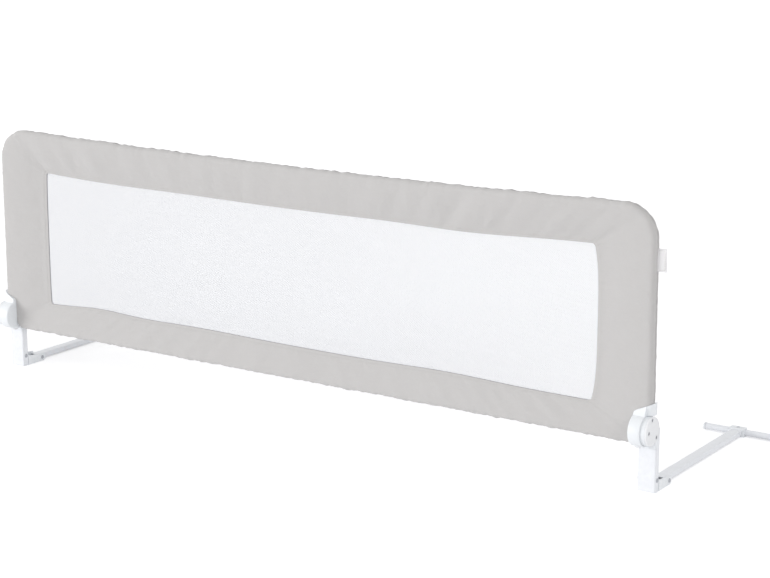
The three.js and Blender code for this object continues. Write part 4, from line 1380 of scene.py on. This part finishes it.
class BEDGUARD_OT_keys(bpy.types.Operator):
    """Moulds the release keys in the feet of the drums"""

    bl_idname = "bed_guard.keys"
    bl_label = "Release Keys"

    def execute(self, context):
        size = context.scene.guard_hinge
        low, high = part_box("right_release_button")
        stem_end = low.x + KEY_STEM
        key = block("right_release_key", low, (stem_end, high.y, high.z))
        round_edges(key, lambda edge: middle(edge).z < low.z + MM or upright(edge), size.edge, 4)
        middle_y = (low.y + high.y) / 2
        tooth_half, tooth_height, tooth_foot = 3 * MM, 3.2 * MM, high.z - 10 * MM
        tooth = block(
            "tooth",
            (stem_end - MM, middle_y - tooth_half, tooth_foot),
            (high.x, middle_y + tooth_half, tooth_foot + tooth_height),
        )
        well_foot, well_radius = LOWEST.z + 1.6 * MM, 3.4 * MM
        well_place = ((low.x + stem_end) / 2, middle_y)
        well = rod("well", "Z", well_foot, high.z + OVERRUN, well_radius, well_place, HOLE_SIDES)
        combine(key, tooth)
        carve(key, well)
        tidy(key)
        put_pair(key, "SIDE_release", "plate_plastic", plate_plastic(), "release_button")
        return {"FINISHED"}


class BEDGUARD_OT_heads(bpy.types.Operator):
    """Moulds the post heads with their ears, and the cover plates"""

    bl_idname = "bed_guard.heads"
    bl_label = "Post Heads"

    def execute(self, context):
        size, legs = context.scene.guard_hinge, context.scene.guard_legs
        axis = (PIVOT.y, PIVOT.z)
        inner, front, _ = POST_BOX[0]
        outer, back, post_top = POST_BOX[1]
        ear_outer = outer - size.plate_width - FIT
        ear_inner = ear_outer - size.ear_width
        cap_low = post_top + FIT
        cap_high = cap_low + 3.7 * MM
        head = rod(
            "right_post_head_shell", "X", ear_inner, ear_outer, size.ear_radius, axis, DISC_SIDES
        )
        round_edges(head, around_x, size.edge)
        arm = block("arm", (ear_inner, front, cap_low + MM), (outer, back, PIVOT.z))
        corner = legs.post_corner
        round_edges(arm, lambda edge: upright(edge) and middle(edge).x > outer - MM, corner, 5)
        round_edges(arm, lambda edge: upright(edge) and middle(edge).x < ear_inner + MM, size.edge)
        seat = rod("seat", "X", ear_outer, outer + OVERRUN, size.ear_radius + FIT, axis, DISC_SIDES)
        carve(arm, seat)
        cap = block("cap", (inner, front, cap_low), (outer, back, cap_high))
        round_edges(cap, upright, corner, 5)
        round_edges(
            cap,
            lambda edge: middle(edge).z > cap_high - MM / 10 and abs(way(edge).z) < 0.1,
            size.edge,
        )
        plug = post_plug(legs, inner, outer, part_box("right_post_head")[0].z, cap_low + MM)
        combine(head, arm, cap, plug)
        ring_radius = size.drum_radius - size.drum_wall - FIT
        ring_width, ring_wall, notch_half, notch_floor = 6 * MM, 4 * MM, 3.3 * MM, 1.6 * MM
        ring = rod("ring", "X", ear_inner - ring_width, ear_inner + FIT, ring_radius, axis)
        ring_start = ear_inner - 2 * OVERRUN
        ring_bore = rod("ring_bore", "X", ring_start, ear_inner + MM, ring_radius - ring_wall, axis)
        notches = block(
            "notches",
            (ring_start, PIVOT.y - notch_half, PIVOT.z - ring_radius + notch_floor),
            (ear_inner, PIVOT.y + notch_half, PIVOT.z + ring_radius - notch_floor),
        )
        carve(ring, ring_bore, notches)
        combine(head, ring)
        pocket_depth, pocket_radius = 3.9 * MM, 7.8 * MM
        ends = ear_inner - OVERRUN, ear_outer + OVERRUN
        bolt = rod("bolt_bore", "X", *ends, BOLT_RADIUS + FIT, axis, ROD_SIDES)
        ends = ear_outer - pocket_depth, ear_outer + OVERRUN
        pocket = rod("pocket", "X", *ends, pocket_radius, axis, TUBE_SIDES)
        carve(head, bolt, pocket)
        tidy(head)
        put_pair(head, "legs", "white_plastic", moulded_plastic(), "post_head")

        # The plate's section in millimetres: [below its face, inside its rim], with a groove
        section = [(1, 0), (0.45, 0.16), (0.12, 0.5), (0, 1.1)]
        section += [(0, 2.6), (0.35, 2.9), (0.35, 3.3), (0, 3.6)]
        rim = size.ear_radius
        profile = [(outer - size.plate_width, rim)]
        profile += [(outer - below * MM, rim - inside * MM) for below, inside in section]
        plate = turned("right_cover_plate", "X", profile, axis, DISC_SIDES)
        well_depth = 1.9 * MM
        for number in (1, 2, 3):
            node = f"right_cover_screw_{number}"
            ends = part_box(node)[1].x - well_depth, outer + OVERRUN
            radius = size.screw_radius + FIT
            carve(plate, rod("well", "X", *ends, radius, centre_of(node), ROD_SIDES))
        tidy(plate)
        put_pair(plate, "legs", "plate_plastic", plate_plastic(), "hinge_cover")
        return {"FINISHED"}


def post_plug(legs, left, right, bottom, top):
    """The part of a head or bracket that fills the post's end."""
    inset = legs.post_wall + FIT
    front, back = POST_BOX[0].y + inset, POST_BOX[1].y - inset
    plug = block("plug", (left + inset, front, bottom), (right - inset, back, top))
    round_edges(plug, upright, legs.post_corner - legs.post_wall)
    return plug


def turned_screw(node, name, axis, head, reach):
    """A screw in a node's place, its head given as [below its top, radius], its cross by reach."""
    low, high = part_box(node)
    along, others = {"X": ("x", "yz"), "Z": ("z", "xy")}[axis]
    bottom, top = getattr(low, along), getattr(high, along)
    across = centre_of(node, others)
    profile = [(bottom, POINT_RADIUS), (bottom + POINT_LENGTH, SHANK_RADIUS)]
    profile += [(top - head[0][0], SHANK_RADIUS)]
    profile += [(top - below, radius) for below, radius in head]
    screw = turned(name, axis, profile, across, PIN_SIDES)
    recess_depth, slim = 1.1 * MM, reach / 4.5
    for wide, narrow in ((reach, slim), (slim, reach)):
        start = [across[0] - wide, across[1] - narrow]
        end = [across[0] + wide, across[1] + narrow]
        start.insert("XYZ".index(axis), top - recess_depth)
        end.insert("XYZ".index(axis), top + MM)
        carve(screw, block("recess", start, end))
    tidy(screw)
    return screw


class BEDGUARD_OT_fasteners(bpy.types.Operator):
    """Turns the screws and rivets, and finishes the inner metal parts"""

    bl_idname = "bed_guard.fasteners"
    bl_label = "Screws and Rivets"

    def execute(self, context):
        zinc = zinc_plate()
        wide = context.scene.guard_hinge.screw_radius

        # The cover screws' heads, in shares of their radius, and the others', in millimetres
        shape = [(1.6, 1), (0.8, 1), (0.35, 0.86), (0.1, 0.6), (0, 0.3)]
        head = [(below * MM, share * wide) for below, share in shape]
        for number in (1, 2, 3):
            node = f"cover_screw_{number}"
            name = f"right_plate_screw_{number}"
            screw = turned_screw(f"right_{node}", name, "X", head, 0.55 * wide)
            put_pair(screw, "legs", "zinc_steel", zinc, node)
        shape = [(1.6, 3.2), (1.1, 3.2), (0.5, 2.6), (0.15, 1.8), (0, 0.8)]
        head = [(below * MM, radius * MM) for below, radius in shape]
        screw = turned_screw("right_connector_screw", "right_saddle_screw", "Z", head, 1.8 * MM)
        put_pair(screw, "SIDE_bar", "zinc_steel", bright_steel(), "connector_screw")

        # The rivets' domes: [above the shank's end in millimetres, share of the dome's radius]
        dome = [(0, 1), (0.5, 0.97), (0.9, 0.86), (1.2, 0.66), (1.36, 0.4), (1.4, 0.12)]
        dome_height, dome_radius = 1.4 * MM, 4 * MM
        for node, name in (("post_rivet", "post_pin"), ("bar_rivet", "bar_pin")):
            low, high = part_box(f"right_{node}")
            left, right = low.x + dome_height, high.x - dome_height
            profile = [(left - rise * MM, share * dome_radius) for rise, share in reversed(dome)]
            profile += [(left, PIN_RADIUS), (right, PIN_RADIUS)]
            profile += [(right + rise * MM, share * dome_radius) for rise, share in dome]
            rivet = turned(f"right_{name}", "X", profile, centre_of(f"right_{node}"), PIN_SIDES)
            put_pair(rivet, "legs", "zinc_steel", zinc, node)
        for node in frame["nodes"]:
            if "pivot_bolt" in node or "joiner" in node:
                dress(node, zinc)
        return {"FINISHED"}


class BEDGUARD_OT_springs(bpy.types.Operator):
    """Winds the springs that push the release keys back down"""

    bl_idname = "bed_guard.springs"
    bl_label = "Return Springs"

    def execute(self, context):
        size = context.scene.guard_hinge
        low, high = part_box("right_release_spring")
        wire, height = size.wire_radius, high.z - low.z
        coil = (high.x - low.x) / 2 - wire
        wire_place = placed("Y", 0, (coil, wire))
        wire_sides, turn_steps = 10, 24
        spring = begin(
            "circle", "right_return_spring", vertices=wire_sides, radius=wire, **wire_place
        )
        rise = (height - 2 * wire) / size.coils
        winding = {"axis": "Z", "steps": turn_steps, "render_steps": turn_steps}
        finish_with(spring, "SCREW", screw_offset=rise, iterations=size.coils, **winding)
        choose(spring, "EDGE", lambda edge: edge.is_boundary)
        bpy.ops.mesh.edge_face_add()
        leave()
        x, y = centre_of("right_release_spring", "xy")
        spring.location = (x, y, low.z)
        apply_place(spring)
        tidy(spring)
        put_pair(spring, "guard", "spring_steel", bright_steel(), "release_spring")
        for side, sign in (("right", 1), ("left", -1)):
            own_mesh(bpy.data.objects[f"{side}_return_spring"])
        return {"FINISHED"}


def dress(node, material):
    """Gives a CAD node that stays in sight its material."""
    obj = frame["nodes"][node]
    obj.data.materials.clear()
    obj.data.materials.append(material)


# Legs

# The bracket's tongue in the post's notch, and the hole for the connector's screw
TONGUE_HALF, TONGUE_HEIGHT = 10 * MM, 15 * MM
SCREW_HOLE_RADIUS = 2 * MM


def pin_hole(across):
    low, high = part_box("right_post_rivet")
    return rod("hole", "X", low.x, high.x, PIN_HOLE_RADIUS, across, PIN_SIDES)


def screw_hole(top, tube_place):
    y, z = tube_place
    return rod("hole", "Z", z, top, SCREW_HOLE_RADIUS, (POST_X, y), HOLE_SIDES)


def on_sides(edge, low, high):
    """Whether an edge lies in a bracket's or saddle's outer sides, above its foot."""
    off_middle = abs(middle(edge).x - POST_X) - (high.x - low.x) / 2
    return abs(off_middle) < MM / 100 and middle(edge).z > MM / 10


class BEDGUARD_OT_posts(bpy.types.Operator):
    """Draws the posts and gives the frame's tubes their powder coat"""

    bl_idname = "bed_guard.posts"
    bl_label = "Posts and Tubes"

    def execute(self, context):
        size = context.scene.guard_legs
        low, high = POST_BOX
        wall = size.post_wall
        post = block("right_upright_post", low, high)
        round_edges(post, upright, size.post_corner, 6)
        inside = block(
            "inside",
            (low.x + wall, low.y + wall, low.z - OVERRUN),
            (high.x - wall, high.y - wall, high.z + OVERRUN),
        )
        round_edges(inside, upright, size.post_corner - wall, 4)
        notch_half = TONGUE_HALF + FIT
        notch = block(
            "notch",
            (POST_X - notch_half, POST_Y, low.z - OVERRUN),
            (POST_X + notch_half, high.y + OVERRUN, TONGUE_HEIGHT + FIT),
        )
        carve(post, inside, notch, pin_hole(centre_of("right_post_rivet")))
        tidy(post)
        put_pair(post, "legs", "painted_steel", powder_coat(), "post")
        for node in ("left_frame_tube", "right_frame_tube", "bottom_tube"):
            dress(node, powder_coat())
        return {"FINISHED"}


class BEDGUARD_OT_shoes(bpy.types.Operator):
    """Moulds the foot brackets with their open channels"""

    bl_idname = "bed_guard.shoes"
    bl_label = "Foot Brackets"

    def execute(self, context):
        size = context.scene.guard_legs
        low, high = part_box("right_foot_bracket")
        front = POST_BOX[1].y + FIT / 6
        rear_height, front_height = 15 * MM, 20 * MM
        shoe = block("right_foot_shoe", (low.x, front, low.z), (high.x, high.y, front_height))
        rise = rear_height - front_height
        move(shoe, "VERT", lambda v: v.co.z > MM and v.co.y > high.y - MM, 0, 0, rise)
        round_edges(
            shoe, lambda edge: runs(edge, "x") and middle(edge).y > high.y - MM, size.shoe_corner, 8
        )
        round_edges(
            shoe,
            lambda edge: on_sides(edge, low, high) and middle(edge).y > front + MM / 10,
            size.edge,
        )
        wall, channel_floor = size.shoe_wall, 2 * MM
        channel = block(
            "channel",
            (low.x + wall, front + wall, channel_floor),
            (high.x - wall, high.y + OVERRUN, front_height + OVERRUN),
        )
        carve(shoe, channel)
        bar_low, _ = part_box("right_flat_bar")
        web_gap, web_height = 2 * MM, 10 * MM
        web = block(
            "web", (low.x + MM, front, low.z + MM), (high.x - MM, bar_low.y - web_gap, web_height)
        )
        across = (BAR_PIVOT.y, BAR_PIVOT.z)
        boss_gap, boss_radius = 11 * MM + FIT, 5 * MM
        bosses = [
            rod("boss", "X", *ends, boss_radius, across, ROD_SIDES)
            for ends in ((low.x + MM, POST_X - boss_gap), (POST_X + boss_gap, high.x - MM))
        ]
        plug = post_plug(size, low.x, high.x, low.z, high.z)
        tongue = block(
            "tongue",
            (POST_X - TONGUE_HALF, POST_Y, low.z),
            (POST_X + TONGUE_HALF, front + wall, TONGUE_HEIGHT),
        )
        combine(shoe, web, *bosses, tongue, plug)
        carve(shoe, pin_hole(centre_of("right_post_rivet")), pin_hole(across))
        tidy(shoe)
        put_pair(shoe, "legs", "white_plastic", moulded_plastic(), "foot_bracket")
        return {"FINISHED"}


class BEDGUARD_OT_bars(bpy.types.Operator):
    """Draws the flat bars and the cross tubes with their saddles and caps"""

    bl_idname = "bed_guard.bars"
    bl_label = "Bars and Cross Tubes"

    def execute(self, context):
        size = context.scene.guard_legs
        bar_low, bar_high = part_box("right_flat_bar")
        wall = size.bar_wall
        bar = block("right_base_bar", bar_low, bar_high)
        round_edges(bar, lengthways, size.bar_corner, 6)
        inside = block(
            "inside",
            (bar_low.x + wall, bar_low.y - OVERRUN, bar_low.z + wall),
            (bar_high.x - wall, bar_high.y + OVERRUN, bar_high.z - wall),
        )
        round_edges(inside, lengthways, size.bar_corner - wall)
        carve(bar, inside)
        across = (BAR_PIVOT.y, BAR_PIVOT.z)
        round_end = block(
            "round_end",
            (bar_low.x - MM, bar_low.y - OVERRUN, bar_low.z - OVERRUN),
            (bar_high.x + MM, BAR_PIVOT.y, BAR_PIVOT.z),
        )
        ends = (bar_low.x - OVERRUN, bar_high.x + OVERRUN)
        carve(round_end, rod("keep", "X", *ends, (bar_high.z - bar_low.z) / 2, across, TUBE_SIDES))
        hole = rod("hole", "X", bar_low.x - MM, bar_high.x + MM, PIN_HOLE_RADIUS, across, PIN_SIDES)
        carve(bar, round_end, hole)
        tidy(bar)
        put_pair(bar, "SIDE_bar", "painted_steel", powder_coat(), "flat_bar")

        low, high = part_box("right_cross_connector")
        tube_low, tube_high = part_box("right_cross_tube")
        tube_place = centre_of("right_cross_tube")
        tube_radius = (tube_high.z - tube_low.z) / 2
        saddle = block("right_cross_saddle", (low.x, bar_high.y + FIT, low.z), high)
        saddle_corner, tube_y = 2.4 * MM, tube_place[0]
        round_edges(
            saddle,
            lambda edge: runs(edge, "x") and (middle(edge).z > MM or middle(edge).y > tube_y),
            saddle_corner,
            5,
        )
        round_edges(saddle, lambda edge: on_sides(edge, low, high), size.edge)
        inset = wall + FIT
        plug = block(
            "plug",
            (bar_low.x + inset, low.y, bar_low.z + inset),
            (bar_high.x - inset, bar_high.y + 2 * MM, bar_high.z - inset),
        )
        round_edges(plug, lengthways, size.bar_corner - wall)
        combine(saddle, plug)
        bore = rod("bore", "X", low.x - MM, high.x + MM, tube_radius + FIT, tube_place, TUBE_SIDES)
        carve(saddle, bore, screw_hole(high.z + OVERRUN, tube_place))
        tidy(saddle)
        put_pair(saddle, "SIDE_bar", "white_plastic", moulded_plastic(), "cross_connector")

        ends = tube_low.x, tube_high.x
        tube = rod("right_cross_rod", "X", *ends, tube_radius, tube_place, TUBE_SIDES)
        ends, tube_wall = (tube_low.x - MM, tube_high.x + MM), 1.2 * MM
        inside = rod("inside", "X", *ends, tube_radius - tube_wall, tube_place, ROD_SIDES)
        carve(tube, inside, screw_hole(tube_high.z + MM, tube_place))
        tidy(tube)
        put_pair(tube, "SIDE_bar", "painted_steel", powder_coat(), "cross_tube")

        # The caps' crown: [outward from its base in millimetres, share of its radius]
        low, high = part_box("right_cross_cap_outer")
        head, stem = (high.z - low.z) / 2, tube_radius - 1.5 * MM
        base, bevel, lip = high.x - 5 * MM, 0.5 * MM, 0.4 * MM
        crown = [(0.4, 1), (2.2, 1), (3.4, 0.93), (4.3, 0.77), (4.8, 0.54), (5, 0.25)]
        profile = [(low.x, stem - bevel), (low.x + bevel, stem), (base, stem), (base, head - lip)]
        profile += [(base + rise * MM, share * head) for rise, share in crown]
        cap = turned("right_rod_cap_outer", "X", profile, tube_place, TUBE_SIDES)
        flipped = mirrored(cap, "right_rod_cap_inner", 2 * POST_X)
        put_pair(cap, "SIDE_bar", "white_plastic", moulded_plastic(), "cross_cap_outer")
        put_pair(flipped, "SIDE_bar", "white_plastic", moulded_plastic(), "cross_cap_inner")
        return {"FINISHED"}


# Stage: places, targets and sizes in metres

FLOOR_SIZE = 60
FLOOR_GLOW = 0.32
VIEW_TARGET = Vector((0.1989, PLANE_Y, 0.29165))
SENSOR_WIDTH = 36
FARTHEST = 100
KEY_LAMP = (-10.5, -9.5, 1.7), (0, PLANE_Y, 0.25), (9, 2.8)
FILL_LAMP = (4.2, -2.4, 2.2), (0.3, PLANE_Y, 0.2), (2.6, 2.6)


def seen(tree):
    """1 for rays straight from the camera or seen in gloss or glass, and 0 for light."""
    path = add(tree, "ShaderNodeLightPath").outputs
    rays = [path["Is Camera Ray"], path["Is Glossy Ray"], path["Is Transmission Ray"]]
    return sum_up(tree, "MAXIMUM", sum_up(tree, "MAXIMUM", rays[0], rays[1]), rays[2])


def floor_material(tint):
    material = bpy.data.materials.new("floor_paper")
    material.use_nodes = True
    tree = material.node_tree
    tree.nodes.clear()
    place = add(tree, "ShaderNodeTexCoord").outputs["Object"]
    cloud = use(tree, soft_mottle, Place=place, Scale=0.8, Contrast=1.0)["Value"]
    paper = blend_colours(tree, cloud, shaded(tint, 0.995), shaded(tint, 1.0))
    matt = add(tree, "ShaderNodeBsdfDiffuse", {"Color": paper, "Roughness": 0.5})
    strength = sum_up(tree, "MULTIPLY", seen(tree), FLOOR_GLOW)
    glow = add(tree, "ShaderNodeEmission", {"Strength": strength})
    both = add(tree, "ShaderNodeAddShader", {0: matt.outputs[0], 1: glow.outputs[0]})
    add(tree, "ShaderNodeOutputMaterial", {"Surface": both.outputs[0]})
    return material


def aim(obj, place, way_back):
    """Places a lamp or camera, with its back to the given way."""
    obj.location = place
    obj.rotation_euler = (-way_back).to_track_quat("-Z", "Y").to_euler()
    bpy.context.scene.collection.objects.link(obj)


def lamp(name, place, target, size, power):
    light = bpy.data.lights.new(name, "AREA")
    light.shape = "RECTANGLE"
    light.size, light.size_y = size
    light.energy = power
    aim(bpy.data.objects.new(name, light), place, Vector(place) - Vector(target))


class BEDGUARD_OT_stage(bpy.types.Operator):
    """Sets up the floor, which drops in front as beside a bed, the soft lamps and the camera"""

    bl_idname = "bed_guard.stage"
    bl_label = "Stage"

    def execute(self, context):
        scene, size = context.scene, context.scene.guard_stage
        floor = begin("plane", "floor", size=FLOOR_SIZE)
        brink = POST_BOX[0].y - size.brink
        choose(floor, "FACE")
        bpy.ops.mesh.bisect(plane_co=(0, brink, 0), plane_no=(0, 1, 0))
        choose(floor, "FACE", lambda face: middle(face).y < brink)
        bpy.ops.mesh.extrude_region_move(TRANSFORM_OT_translate={"value": (0, 0, -size.drop)})
        choose(
            floor,
            "FACE",
            lambda face: abs(face.normal.z) < 0.5 and abs(middle(face).y - brink) > MM,
        )
        bpy.ops.mesh.delete(type="FACE")
        face_outward(floor)
        floor.data.materials.append(floor_material(size.floor))

        world = scene.world or bpy.data.worlds.new("World")
        scene.world = world
        world.use_nodes = True
        tree = world.node_tree
        tree.nodes.clear()
        strength = mix_values(tree, seen(tree), size.ambient, 1.0)
        sky = add(tree, "ShaderNodeBackground", {"Color": (1, 1, 1, 1), "Strength": strength})
        add(tree, "ShaderNodeOutputWorld", {"Surface": sky.outputs[0]})
        lamp("key_lamp", *KEY_LAMP, size.key)
        lamp("fill_lamp", *FILL_LAMP, size.fill)

        level = math.cos(size.elevation)
        away = math.sin(size.azimuth) * level, -math.cos(size.azimuth) * level
        back = Vector((*away, math.sin(size.elevation)))
        view = bpy.data.cameras.new("camera")
        view.lens, view.sensor_width, view.clip_end = size.lens, SENSOR_WIDTH, FARTHEST
        scene.camera = bpy.data.objects.new("camera", view)
        aim(scene.camera, VIEW_TARGET + back * size.distance, back)
        scene.view_settings.view_transform = "Standard"
        return {"FINISHED"}


OPERATORS = [
    BEDGUARD_OT_stage,
    BEDGUARD_OT_cover,
    BEDGUARD_OT_net,
    BEDGUARD_OT_label,
    BEDGUARD_OT_drums,
    BEDGUARD_OT_keys,
    BEDGUARD_OT_heads,
    BEDGUARD_OT_fasteners,
    BEDGUARD_OT_springs,
    BEDGUARD_OT_posts,
    BEDGUARD_OT_shoes,
    BEDGUARD_OT_bars,
]


class BEDGUARD_PT_panel(bpy.types.Panel):
    bl_idname = "BEDGUARD_PT_panel"
    bl_label = "Bed Guard Rail"
    bl_space_type = "VIEW_3D"
    bl_region_type = "UI"
    bl_category = "Bed Guard"

    def draw(self, context):
        for operator in OPERATORS:
            self.layout.operator(operator.bl_idname)
        for name, kind in SETTINGS.items():
            box = self.layout.box()
            for field in kind.__annotations__:
                box.prop(getattr(context.scene, name), field)


CLASSES = [*SETTINGS.values(), *OPERATORS, BEDGUARD_PT_panel]


def register():
    for kind in CLASSES:
        bpy.utils.register_class(kind)
    for name, kind in SETTINGS.items():
        setattr(bpy.types.Scene, name, PointerProperty(type=kind))


def unregister():
    for name in SETTINGS:
        delattr(bpy.types.Scene, name)
    for kind in reversed(CLASSES):
        bpy.utils.unregister_class(kind)


def clear_start():
    """Removes the objects that a new file starts with."""
    kept = {*frame["nodes"].values(), *frame["bodies"].values()}
    for obj in list(bpy.context.scene.objects):
        if obj not in kept:
            bpy.data.objects.remove(obj)


def main():
    clear_start()
    register()
    for operator in OPERATORS:
        family, name = operator.bl_idname.split(".")
        getattr(getattr(bpy.ops, family), name)()


if __name__ == "__main__":
    main()
